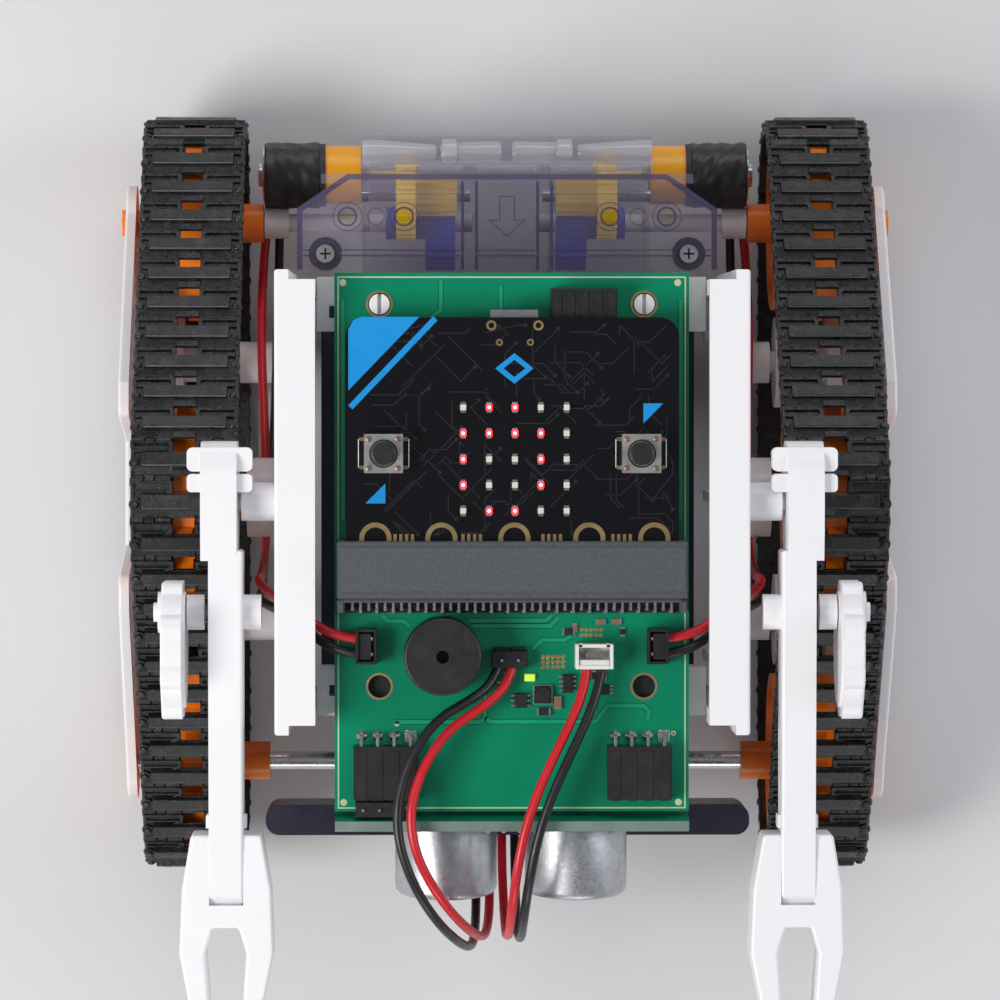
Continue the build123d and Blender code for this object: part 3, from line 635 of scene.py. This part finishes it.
return_red = [
    (11.6, -25.9, 91.4), (11.2, -29.0, 91.8), (9.4, -33.6, 92.6), (6.8, -38.8, 93.2),
    (4.2, -44.4, 93.6), (2.0, -50.6, 94.0), (0.7, -57.4, 93.4), (0.0, -63.8, 89.8),
    (-0.3, -68.0, 82.2), (-0.6, -69.4, 71.8), (-0.7, -68.4, 60.6), (-0.8, -65.2, 50.0),
    (-0.9, -60.6, 41.8), (-0.9, -55.5, 37.8),
]
return_black = [
    (13.9, -25.9, 91.4), (13.3, -29.4, 92.2), (11.2, -34.6, 93.2), (8.6, -40.0, 93.8),
    (6.0, -45.8, 94.0), (4.0, -51.8, 94.0), (2.7, -58.4, 92.8), (1.9, -64.6, 88.6),
    (1.6, -68.6, 80.8), (1.4, -69.8, 70.8), (1.3, -68.8, 60.0), (1.2, -65.4, 49.6),
    (1.2, -60.4, 41.6), (1.2, -55.5, 37.8),
]
motor_red = [
    (24.3, -21.2, 90.2), (27.6, -20.8, 90.2), (31.4, -18.6, 89.0), (35.6, -15.8, 86.6),
    (39.0, -13.6, 80.6), (39.9, -12.6, 71.6), (39.7, -12.8, 60.4), (39.6, -11.0, 48.8),
    (39.5, -5.4, 38.8), (39.8, 3.4, 30.5), (40.2, 12.4, 23.5), (40.8, 21.7, 18.2),
    (40.9, 30.5, 14.8), (40.6, 38.6, 12.4), (40.0, 44.6, 12.2), (39.6, 47.4, 14.0),
    (39.4, 48.5, 17.4),
]
motor_black = [
    (24.3, -23.6, 90.2), (27.8, -23.0, 90.0), (31.6, -20.4, 87.4), (35.6, -17.4, 84.0),
    (39.2, -16.0, 77.8), (40.0, -15.6, 68.8), (39.8, -15.8, 57.6), (39.8, -13.4, 46.0),
    (39.7, -7.0, 36.2), (39.4, 1.4, 28.0), (38.6, 10.6, 20.6), (38.4, 20.5, 16.2),
    (38.2, 30.5, 13.6), (38.0, 38.6, 11.8), (37.9, 44.4, 11.8), (37.8, 47.3, 13.8),
    (37.8, 48.5, 17.4),
]


def make_lead(route, name, node, colour):
    """A round lead on a smooth line through its route."""
    data = bpy.data.curves.new(name, "CURVE")
    data.dimensions = "3D"
    data.bevel_depth = lead_diameter / 2 * MM
    data.bevel_resolution = 4
    data.resolution_u = 10
    data.use_fill_caps = True
    spline = data.splines.new("NURBS")
    spline.points.add(len(route) - 1)
    for point, place in zip(spline.points, route):
        point.co = (*at(*place), 1)
    spline.order_u = 3
    spline.use_endpoint_u = True
    data.materials.append(materials[colour])
    cord = bpy.data.objects.new(name, data)
    bpy.context.scene.collection.objects.link(cord)
    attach(cord, "chassis")
    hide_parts(node)


make_lead(supply_red, "supply_wire_red", "supply_lead_red", "lead_red")
make_lead(supply_black, "supply_wire_black", "supply_lead_black", "lead_black")
make_lead(return_red, "return_wire_red", "return_lead_red", "lead_red")
make_lead(return_black, "return_wire_black", "return_lead_black", "lead_black")
for side, word in ((-1, "left"), (1, "right")):
    for route, colour, length in ((motor_red, "red", 0.1285), (motor_black, "black", 0.131)):
        make_lead(
            [(side * x, y, z) for x, y, z in route],
            f"{word}_motor_wire_{colour}",
            f"{word}_motor_lead_{colour}",
            f"lead_{colour}",
        )


# ---------------------------------------------------------------- gearbox cover

cover_top = top_of("gearbox_cover") - 0.7
cover_holes = [(side * x, 45.6) for side in (-1, 1) for x in (16.9, 26.2)]
screw_places = [(side * 29.8, 39.5) for side in (-1, 1)]

edges = Piece("gearbox_cover_edges")
low, high = cover_top + 0.01, cover_top + 0.12
rim = [(-34.0, 36.9), (-34.0, 46.7), (-26.1, 52.1), (26.1, 52.1), (34.0, 46.7), (34.0, 36.9)]
edges.strip(rim, 0.9, (low, high))
for x in (5.0, 7.3):
    for side in (-1, 1):
        edges.strip([(side * x, 36.9), (side * x, 51.5)], 0.45, (low, high + 0.02))
for span in ((-33.5, -7.6), (-4.7, 4.7), (7.6, 33.5)):
    edges.strip([(span[0], 39.2), (span[1], 39.2)], 0.3, (low, high))
    edges.strip([(span[0], 40.1), (span[1], 40.1)], 0.16, (low, high))
for x, y in cover_holes:
    edges.ring((x, y), 1.32, 1.62, (low, high), 28)
    edges.ring((x, y), 2.3, 2.42, (low, high - 0.05), 28)
for side in (-1, 1):
    edges.ring((side * 21.5, 45.6), 1.3, 1.42, (low, high - 0.05), 24)
arrow = [(-1.2, 48.9), (-1.2, 45.0), (-2.9, 45.0), (0, 42.4), (2.9, 45.0), (1.2, 45.0), (1.2, 48.9)]
edges.strip(arrow + arrow[:1], 0.14, (low, high - 0.04))
edges.done("clear_edge", slot="clear_smoke")

bosses = Piece("gearbox_screw_bosses")
for x, y in screw_places:
    bosses.turned((x, y, cover_top), UP, ((0, 2.75), (0.28, 2.7), (0.3, 1.6), (0.12, 1.5)), 36)
bosses.done("clear_ring", slot="clear_smoke")

# Painted shade: thin dark boxes on the screw heads stand in for the shade inside their cross slots
slots = Piece("gearbox_screw_slots")
screw_top = top_of("gearbox_hardware")
for x, y in screw_places:
    slots.box((x - 0.9, x + 0.9), (y - 0.16, y + 0.16), (screw_top - 0.02, screw_top + 0.03))
    slots.box((x - 0.16, x + 0.16), (y - 0.9, y + 0.9), (screw_top - 0.02, screw_top + 0.035))
slots.done("hole_dark")

tubes = Piece("gearbox_cover_tubes")
tube_y, tube_z = 56.2, 33.5
tube_parts = (
    (0.9, ((0, 1.7), (0.6, 2.0), (9.5, 1.7), (10.0, 1.3))),
    (11.6, ((0, 1.2), (0.4, 1.4), (10.4, 2.2), (12.2, 2.1))),
    (8.2, ((0, 2.2), (0.3, 2.35), (2.2, 2.35), (2.5, 2.2))),
)
for side in (-1, 1):
    for start, profile in tube_parts:
        tubes.turned((side * start, tube_y, tube_z), (side, 0, 0), profile, 28)
tubes.done("clear_bright", slot="clear_smoke")

# ---------------------------------------------------------------- motor sleeves

motor_yz = (middle("motors")[1] - apex_y, middle("motors")[2])
tape_start, tape_length = 30.9, 9.25


def make_sleeve(side, name, seed):
    """The wrinkled tape around a motor can, overlapping itself along one edge."""
    chance = Random(seed)
    waves = [
        (chance.uniform(0.4, 1.6), chance.randint(2, 9), chance.uniform(0, 6.3), chance.uniform(0.02, 0.07))
        for _ in range(14)
    ]
    low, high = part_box("motors")
    radius = (high[1] - low[1]) / 2 / MM
    rows, sides = 40, 96
    points, faces = [], []
    for row in range(rows + 1):
        x = tape_start + tape_length * row / rows
        for i in range(sides):
            angle = 2 * pi * i / sides
            bulge = sum(h * sin(f * (x - 30) * 1.9 + n * angle + p) for f, n, p, h in waves)
            lap = 0.12 if 0.6 < angle + 0.05 * sin(3 * x) < 3.4 else 0.0
            r = radius + 0.13 + lap + 0.5 * bulge
            if row in (0, rows):
                r = radius - 0.25
            points.append(at(side * x, motor_yz[0] + r * cos(angle), motor_yz[1] + r * sin(angle)))
    for row in range(rows):
        for i in range(sides):
            j = (i + 1) % sides
            quad = (row * sides + i, row * sides + j, (row + 1) * sides + j, (row + 1) * sides + i)
            faces.append(quad if side > 0 else quad[::-1])
    data = bpy.data.meshes.new(name)
    data.from_pydata(points, [], faces)
    finish_mesh(data, name, "tape_black", "chassis", smooth=50)


make_sleeve(-1, "left_motor_tape", 11)
make_sleeve(1, "right_motor_tape", 5)

ends = Piece("motor_end_caps")
cap_profile = ((0, 4.6), (0.35, 4.5), (0.5, 2.0), (1.1, 1.9), (1.2, 0.7))
for side in (-1, 1):
    ends.turned((side * 40.1, *motor_yz), (side, 0, 0), cap_profile, 36)
ends.done("steel", slot="steel")

# ---------------------------------------------------------------- main board

board_line = (board_top + 0.004, board_top + 0.03)
copper = Piece("board_copper")
inset = [(-27.00, 34.90), (27.00, 34.90), (27.00, -47.75), (-27.00, -47.75), (-27.00, 34.90)]
copper.strip(inset, 0.22, board_line)
for place in ((-26.30, 34.04), (25.84, 34.04), (-26.15, -46.89), (25.99, -46.89)):
    copper.turned((*place, board_top), UP, ((0, 0.55), (0.05, 0.5)), 16)
for place in ((-17.90, -34.59), (-13.39, -36.15), (25.21, -36.15)):
    copper.ring(place, 0.18, 0.42, board_line, 14)
copper.done("copper_line")

rims, hole_shade_discs = Piece("board_hole_rims"), Piece("board_hole_painted_shade")
for side in (-1, 1):
    for y in (30.7, -28.8):
        rims.ring((side * 20.6, y), 1.78, 2.12, (board_top, board_top + 0.06), 36)
        # Painted shade: a thin black disc under each post hole stands in for the dark inside of the hole
        hole_shade_discs.turned((side * 20.6, y, board_top - 1.5), UP, ((0, 1.76), (0.02, 1.76)), 36)
# Dots: the first one's place, rows, pitch along X and Y, radius
for (x, y), dot_rows, pitch_x, pitch_y, radius in (
    ((4.82, -24.17), 3, 0.8, 0.8, 0.36), ((10.89, -19.96), 2, 0.75, 0.9, 0.34)
):
    for column in range(5):
        for row in range(dot_rows):
            dot = (x + column * pitch_x, y - row * pitch_y, board_top)
            rims.turned(dot, UP, ((0, radius), (0.08, radius - 0.08)), 12)
rims.done("gold")
# The painted shade discs under the post holes take the black socket material
hole_shade_discs.done("socket_black")

traces = Piece("board_traces")
runs = (
    [(-18.26, -34.35), (-4.96, -34.35), (-4.15, -33.73), (-4.15, -29.06)],
    [(-4.15, -33.73), (-3.32, -34.31), (13.08, -34.31), (14.98, -31.83), (20.55, -31.83), (21.39, -32.71),
     (21.17, -33.98)],
    [(-20.08, -17.74), (-19.35, -18.65), (-16.80, -18.65), (-15.90, -19.40)],
    [(-6.60, -18.55), (5.30, -18.55), (6.30, -17.70)],
    [(-6.20, -19.40), (6.00, -19.40), (7.30, -18.00)],
    [(3.24, -23.03), (4.70, -21.57), (8.16, -21.57), (9.26, -21.00)],
    [(-26.30, 31.40), (-26.30, -2.84)],
    [(26.30, 31.40), (26.30, -2.84)],
    [(-1.71, 33.58), (-1.71, 29.53)],
    [(-11.05, 34.51), (-11.05, 29.84), (-12.61, 28.60)],
)
gaps = Piece("board_trace_gaps")
for run in runs:
    gaps.strip(run, 0.84, (board_top + 0.002, board_top + 0.02))
    traces.strip(run, 0.62, board_line)
gaps.done("trace_gap")
traces.done("trace_green")

# Small parts: centre, width, depth, height, and what they are
chip_parts = (
    ((-1.71, -28.99), 1.0, 2.0, 0.5, "dark"), ((8.87, -20.28), 2.0, 1.0, 0.45, "dark"),
    ((13.85, -18.72), 1.6, 0.9, 0.4, "brown"), ((16.34, -18.72), 1.6, 0.9, 0.4, "brown"),
    ((11.52, -27.12), 0.9, 1.7, 0.4, "brown"), ((12.92, -27.12), 0.9, 1.7, 0.4, "dark"),
    ((14.32, -27.12), 0.9, 1.7, 0.4, "brown"), ((7.16, -31.33), 1.2, 2.0, 0.6, "brown"),
    ((4.98, -32.73), 2.2, 1.1, 0.5, "dark"), ((-0.47, -27.12), 1.6, 0.8, 0.4, "brown"),
    ((-2.33, -25.88), 0.9, 1.6, 0.4, "dark"), ((12.30, -31.79), 1.6, 0.8, 0.4, "dark"),
    ((9.81, -19.65), 0.8, 1.5, 0.35, "brown"), ((17.28, -20.28), 0.8, 1.5, 0.35, "dark"),
)
bodies_dark, bodies_brown = Piece("chip_bodies"), Piece("chip_capacitors")
terminals = Piece("chip_terminals")
for (x, y), width, depth, height, kind in chip_parts:
    body = bodies_dark if kind == "dark" else bodies_brown
    along_x = width > depth
    half = (width / 2, depth / 2)
    shrink = (0.28, 0.0) if along_x else (0.0, 0.28)
    body.box(
        (x - half[0] + shrink[0], x + half[0] - shrink[0]),
        (y - half[1] + shrink[1], y + half[1] - shrink[1]),
        (board_top, board_top + height),
    )
    for end in (-1, 1):
        if along_x:
            span_x = sorted((x + end * (half[0] - 0.34), x + end * half[0]))
            span_y = (y - half[1] - 0.02, y + half[1] + 0.02)
        else:
            span_x = (x - half[0] - 0.02, x + half[0] + 0.02)
            span_y = sorted((y + end * (half[1] - 0.34), y + end * half[1]))
        terminals.box(span_x, span_y, (board_top, board_top + height + 0.03), 0.03)
for (x, y), width, depth, legs in (
    ((1.40, -31.01), 2.0, 2.3, 3), ((8.72, -28.37), 1.7, 2.9, 4), ((14.47, -29.30), 1.6, 1.6, 3)
):
    span_x, span_y = (x - width / 2, x + width / 2), (y - depth / 2, y + depth / 2)
    bodies_dark.box(span_x, span_y, (board_top + 0.1, board_top + 1.0), 0.12)
    first_pin = (span_x[0] + 0.35, span_y[1] - 0.4, board_top + 0.98)
    bodies_dark.turned(first_pin, UP, ((0, 0.14), (0.04, 0.12)), 10)
    for leg in range(legs):
        place = y - depth / 2 + depth * (leg + 0.5) / legs
        for side in (-1, 1):
            span = sorted((x + side * (width / 2 - 0.05), x + side * (width / 2 + 0.55)))
            terminals.box(span, (place - 0.17, place + 0.17), (board_top, board_top + 0.3), 0.05)
x, y = (4.82, -30.08)
terminals.box((x - 1.5, x + 1.5), (y - 1.5, y + 1.5), (board_top, board_top + 0.35))
bodies_dark.turned((x, y, board_top + 0.2), UP, ((0, 1.35), (0.9, 1.35), (1.1, 1.15)), 28)
bodies_dark.box((x - 1.4, x + 1.4), (y - 1.4, y + 1.4), (board_top + 0.3, board_top + 0.9), 0.1)
bodies_dark.done("socket_black", bevel=0.04)
bodies_brown.done("chip_brown", bevel=0.04)
terminals.done("tin", bevel=0.03)

lamp = Piece("power_light")
x, y = (2.80, -27.44)
lamp.box((x - 0.85, x + 0.85), (y - 0.6, y + 0.6), (board_top, board_top + 0.7), 0.1)
lamp.done("chip_green", bevel=0.05)

# ---------------------------------------------------------------- sockets

black_sockets, white_socket = Piece("sockets_black"), Piece("socket_white_two_pin")
pins = Piece("socket_pins")


def tub(piece, x, y, top, wall, floor):
    """An open box: four walls around a floor."""
    piece.box(x, y, (board_top, floor))
    piece.box((x[0], x[0] + wall), y, (floor - 0.1, top))
    piece.box((x[1] - wall, x[1]), y, (floor - 0.1, top))
    piece.box((x[0] + wall, x[1] - wall), (y[0], y[0] + wall), (floor - 0.1, top))
    piece.box((x[0] + wall, x[1] - wall), (y[1] - wall, y[1]), (floor - 0.1, top))


tub(white_socket, (9.8, 15.7), (-25.9, -22.0), 93.0, 0.55, 89.2)
white_socket.box((10.3, 15.2), (-25.6, -24.4), (89.0, 92.6), 0.1)
for x in (10.35, 14.55):
    white_socket.box((x, x + 0.6), (-22.6, -21.9), (90.0, 93.0))
for x in (11.6, 13.9):
    pins.box((x - 0.3, x + 0.3), (-24.2, -23.2), (89.0, 92.2), 0.12)
black_sockets.box((-3.1, 2.4), (-25.9, -23.1), (board_top, 90.6), 0.12)
for x in (-1.6, 1.0):
    pins.box((x - 0.32, x + 0.32), (-24.9, -24.3), (90.4, 91.4), 0.12)
    black_sockets.box((x - 1.1, x + 1.1), (-23.3, -22.6), (board_top, 89.6), 0.1)
for side in (-1, 1):
    span = tuple(sorted((side * 21.0, side * 24.3)))
    tub(black_sockets, span, (-25.2, -19.7), 92.0, 0.45, 89.4)
    inner = tuple(sorted((side * 21.7, side * 24.3)))
    black_sockets.box(inner, (-24.6, -20.3), (89.2, 91.5), 0.15)
    for y in (-23.6, -21.2):
        pins.box(tuple(sorted((side * 21.55, side * 21.95))), (y - 0.3, y + 0.3), (91.3, 91.75), 0.06)
for span in ((-24.7, -14.5), (14.8, 25.0)):
    black_sockets.box(span, (-46.4, -37.9), (board_top, 91.0), 0.12)
    for index in range(4):
        x = span[0] + 1.3 + index * 2.54
        black_sockets.box((x - 0.95, x + 0.95), (-46.5, -38.6), (90.9, 91.12), 0.1)
        pins.box((x - 0.32, x + 0.32), (-38.1, -36.3), (90.0, 90.64), 0.1)
        pins.box((x - 0.32, x + 0.32), (-36.9, -36.3), (board_top, 90.5), 0.08)
        if index < 3:
            pins.turned((x, -36.5, board_top), UP, ((0, 0.95), (0.25, 0.8), (0.6, 0.4)), 20)
        else:
            pins.box((x - 0.95, x + 0.95), (-37.5, -35.6), (board_top, board_top + 0.12), 0.1)
black_sockets.box((-24.4, -16.6), (-49.1, -46.6), (board_top - 0.4, 91.0), 0.1)
for index in range(3):
    x = -23.1 + index * 2.54
    pins.box((x - 0.32, x + 0.32), (-48.2, -47.6), (90.9, 91.6), 0.12)
black_sockets.box((6.0, 16.4), (26.4, 33.2), (88.1, 92.5), 0.15)
for index in range(5):
    x = 7.0 + index * 2.1
    black_sockets.box((x - 0.75, x + 0.75), (26.3, 32.6), (92.4, 92.72), 0.1)
black_sockets.done("socket_black", bevel=0.08, stands_for=("sockets",), slot="socket_black")
white_socket.done("socket_white", bevel=0.08, slot="white_plastic")
pins.done("tin", bevel=0.04, slot="steel")

shell = Piece("usb_shell")
shell.box((-3.4, 4.0), (24.6, 29.8), (89.8, 92.5))
shell.box((-3.9, -3.3), (26.0, 27.6), (90.4, 91.2))
shell.box((3.9, 4.5), (26.0, 27.6), (90.4, 91.2))
shell.ring((-1.6, 28.4), 0.4, 0.62, (92.48, 92.56), 16)
shell.ring((2.2, 28.4), 0.4, 0.62, (92.48, 92.56), 16)
shell.done("tin", bevel=0.45, slot="steel")

# ---------------------------------------------------------------- edge connector

grip = Piece("edge_connector_body")
grip.box((-27.2, 27.2), (-14.9, -5.9), (board_top, 96.7), 0.1)
grip.box((-27.0, 27.0), (-14.0, -6.6), (96.5, 97.0), 0.12)
grip.box((-26.4, 26.4), (-15.6, -14.8), (board_top + 1.2, 95.2), 0.12)
for side in (-1, 1):
    grip.box(tuple(sorted((side * 25.9, side * 27.2))), (-17.2, -14.9), (board_top, 94.0), 0.1)
grip.box((-25.9, 25.9), (-15.3, -14.8), (board_top, 90.2))
grip.done("connector_grey", bevel=0.18, stands_for=("edge_connector",), slot="connector_grey")

well = Piece("edge_connector_well")
well.box((-25.9, 25.9), (-17.3, -15.3), (board_top, board_top + 0.5))
well.done("socket_black")

edge_pins = Piece("edge_connector_pins")
for index in range(40):
    x = -24.77 + index * 1.27
    reach = -17.3 if index % 2 else -16.9
    edge_pins.box((x - 0.26, x + 0.26), (reach, -15.2), (91.0, 91.5), 0.08)
    edge_pins.box((x - 0.26, x + 0.26), (reach - 0.02, reach + 0.5), (board_top, 91.45), 0.06)
    edge_pins.turned((x, reach + 0.2, board_top), UP, ((0, 0.5), (0.3, 0.42), (0.7, 0.3)), 12)
edge_pins.done("tin", bevel=0.05, slot="steel")

# ---------------------------------------------------------------- controller board

face = (controller_top + 0.002, controller_top + 0.03)
blue = Piece("controller_blue_print")
blue.prism([(-25.35, 17.32), (-25.35, 26.74), (-24.58, 28.14), (-23.34, 28.68), (-14.38, 28.68)][::-1], face)
blue.strip([(-25.04, 14.69), (-11.90, 28.45)], 0.9, face)
blue.prism([(-19.63, 2.94), (-19.63, -0.15), (-22.72, -0.15)], face)
blue.prism([(23.34, 15.31), (20.25, 12.21), (20.25, 15.31)], face)
blue.strip([(-2.01, 20.72), (0.31, 22.57), (2.63, 20.72), (0.31, 18.86), (-2.01, 20.72)], 0.8, face)
blue.done("print_blue")

gold = Piece("controller_gold")
for x in (-21.178, -10.975, 0.309, 11.903, 21.951):
    gold.ring((x, -5.6), 1.75, 2.5, face, 40)
for place in ((-3.25, 27.36), (4.02, 27.36)):
    gold.ring(place, 0.45, 0.8, face, 20)
for place in ((-2.01, 24.74), (2.78, 24.74)):
    gold.ring(place, 0.25, 0.55, face, 18)
for first in (-18.149, -7.638, 4.729, 15.549):
    for step in range(4):
        x = first + step * 0.9
        gold.box((x - 0.25, x + 0.25), (-6.2, -4.9), face)
gold.done("gold")

chance = Random(4)
lines = Piece("controller_traces")
for index in range(120):
    x, y = chance.uniform(-24, 24), chance.uniform(-5, 27)
    dx, dy = chance.choice(((1, 0), (0, 1), (1, 0), (0, -1), (1, 1), (1, -1)))
    reach = chance.uniform(1.2, 5.5)
    bend = chance.uniform(0.8, 2.6)
    ex = min(24.8, x + dx * reach)
    ey = max(-5.0, min(27.4, y + dy * reach))
    turn_x = min(24.8, ex + bend)
    turn_y = max(-5.0, min(27.4, ey + bend * chance.choice((-1, 1))))
    if hypot(ex - x, ey - y) < 0.4 or hypot(turn_x - ex, turn_y - ey) < 0.4:
        continue
    levels = (controller_top + 0.001, controller_top + 0.012)
    lines.strip([(x, y), (ex, ey), (turn_x, turn_y)], 0.14, levels)
    if index % 3 == 0:
        lines.ring((turn_x, turn_y), 0.12, 0.3, (controller_top + 0.001, controller_top + 0.016), 12)
lines.done("trace_dark")

button_reach, button_y = 19.9, 7.6
white_marks = Piece("controller_fine_print")
for side in (-1, 1):
    for x in (side * button_reach - 3.9, side * button_reach + 3.9):
        white_marks.strip([(x, 5.4), (x, 9.8)], 0.12, face)
white_marks.done("print_white")

pattern = ("01100", "11110", "10010", "10010", "01100")
lit_lamps, pale_lamps, lamp_pads, cores = (
    Piece("lamps_lit"), Piece("lamps_pale"), Piece("lamp_pads"), Piece("lamp_cores")
)
for row, marks in enumerate(pattern):
    for column, mark in enumerate(marks):
        x, y = 0.4 + (column - 2) * 4.0, 6.7 + (2 - row) * 4.0
        lamp_piece = lit_lamps if mark == "1" else pale_lamps
        lamp_levels = (controller_top, controller_top + 0.55)
        lamp_piece.box((x - 0.5, x + 0.5), (y - 0.5, y + 0.5), lamp_levels, 0.08)
        pad_levels = (controller_top, controller_top + 0.22)
        lamp_pads.box((x - 0.42, x + 0.42), (y - 0.86, y - 0.48), pad_levels, 0.04)
        lamp_pads.box((x - 0.42, x + 0.42), (y + 0.48, y + 0.86), pad_levels, 0.04)
        if mark == "1":
            cores.turned((x, y, controller_top + 0.5), UP, ((0, 0.28), (0.09, 0.2)), 12)
lit_lamps.done("lamp_red", bevel=0.05, stands_for=("led_matrix",), slot="led_pale")
pale_lamps.done("led_pale", bevel=0.05, slot="led_pale")
lamp_pads.done("tin", bevel=0.02, slot="steel")
cores.done("lamp_core")

rivets = Piece("button_rivets")
button_top = top_of("button_bodies")
rivet_profile = ((0, 0.5), (0.16, 0.42), (0.22, 0.2))
for side in (-1, 1):
    button_x = side * button_reach
    for dx in (-2.25, 2.25):
        for dy in (-2.25, 2.25):
            rivets.turned((button_x + dx, button_y + dy, button_top - 0.02), UP, rivet_profile, 16)
    for dx in (-3.3, 3.3):
        for dy in (-2.2, 2.2):
            x, y = button_x + dx, button_y + dy
            foot_levels = (controller_top, controller_top + 0.3)
            rivets.box((x - 0.5, x + 0.5), (y - 0.35, y + 0.35), foot_levels, 0.08)
rivets.done("rivet_brown", bevel=0.03, slot="button_silver")
rings = Piece("button_collars")
for side in (-1, 1):
    rings.ring((side * button_reach, button_y), 1.95, 2.2, (button_top - 0.01, button_top + 0.04), 32)
rings.done("hole_dark")

# ---------------------------------------------------------------- buzzer and sensor

mark = Piece("buzzer_marks")
buzzer_top = top_of("buzzer")
mark.ring((-10.8, -23.8), 5.35, 5.5, (buzzer_top - 0.02, buzzer_top + 0.015), 48)
mark.box((-8.3, -5.8), (-26.2, -23.7), (buzzer_top - 0.02, buzzer_top + 0.012))
for x in (-8.0, -6.4):
    mark.ring((x + 0.2, -21.4), 0.2, 0.34, (buzzer_top - 0.02, buzzer_top + 0.02), 12)
mark.done("hole_dark")

tilt = radians(8.0)
board_half, can_reach, can_drop = 0.8, 10.2, 1.6
lean_out = Vector((0, -cos(tilt), -sin(tilt)))
lean_up = Vector((0, -sin(tilt), cos(tilt)))
lean_turn = lean_out.to_track_quat("Z", "Y").to_matrix().to_4x4()
sensor_centre = Vector((0, -49.0, 81.6))
cans, grilles = Piece("transducer_cans"), Piece("transducer_grilles")
backs = Piece("transducer_cores")
for side in (-1, 1):
    foot = sensor_centre + Vector((side * can_reach, 0, 0)) - lean_up * can_drop + lean_out * board_half
    can = (
        (0, 7.6), (0, 8.0), (0.5, 8.0), (0.7, 7.86), (1.0, 8.0), (10.9, 8.0), (11.5, 7.9),
        (11.9, 7.6), (12.0, 7.2), (11.9, 6.8), (11.3, 6.7), (9.5, 6.7), (9.5, 6.0),
    )
    cans.turned(foot, lean_out, can, 56)
    grilles.turned(foot + lean_out * 11.1, lean_out, ((0, 6.8), (0.12, 6.75), (0.45, 4.0), (0.55, 0.5)), 48)
    backs.turned(foot + lean_out * 9.4, lean_out, ((0, 5.0), (0.9, 4.6), (1.2, 2.2), (1.3, 1.0)), 36)
cans.done("transducer_metal", stands_for=("transducers",), slot="transducer_metal", smooth=50)
grilles.done("grille_mesh", slot="transducer_metal")
backs.done("button_silver", slot="transducer_metal")

# Solder joints on both faces of the leaning sensor board, chips on its front, and its cut top edge
sensor_joints, sensor_chips = Piece("sensor_solder"), Piece("sensor_chips")
for side in (-1, 1):
    for dx in (-2.54, 2.54):
        spot = sensor_centre + Vector((side * can_reach + dx, 0, 0))
        spot -= lean_up * can_drop + lean_out * board_half
        sensor_joints.turned(spot, -lean_out, ((0, 0.95), (0.3, 0.75), (0.8, 0.3)), 18)
for index in range(4):
    spot = sensor_centre + Vector((-3.81 + index * 2.54, 0, 0)) + lean_up * 7.6 + lean_out * board_half
    sensor_joints.turned(spot, lean_out, ((0, 0.85), (0.25, 0.7), (0.7, 0.28)), 16)
for x, up, width in ((0.0, -3.5, 4.2), (0.0, 3.0, 3.2), (19.5, 4.5, 3.0), (-19.5, 4.5, 3.0)):
    place = sensor_centre + Vector((x, 0, 0)) + lean_up * up + lean_out * 0.75
    sensor_chips.turn = Matrix.Translation(place) @ lean_turn
    sensor_chips.box((-width / 2, width / 2), (-1.6, 1.6), (0, 1.2), 0.15)
    sensor_joints.turn = sensor_chips.turn
    for leg in range(4):
        across = -width / 2 + width * (leg + 0.5) / 4
        for end in (-1, 1):
            span = sorted((end * 1.5, end * 2.3))
            sensor_joints.box((across - 0.18, across + 0.18), span, (0.02, 0.3), 0.04)
    sensor_joints.turn = Matrix.Identity(4)
sensor_joints.done("tin", slot="steel")
sensor_chips.done("socket_black", bevel=0.08, slot="socket_black")

sensor_edge = Piece("sensor_board_edge")
sensor_edge.turn = Matrix.Translation(sensor_centre) @ lean_turn
sensor_edge.box((-27.5, 27.5), (9.98, 10.03), (-board_half, board_half))
sensor_edge.done("laminate")
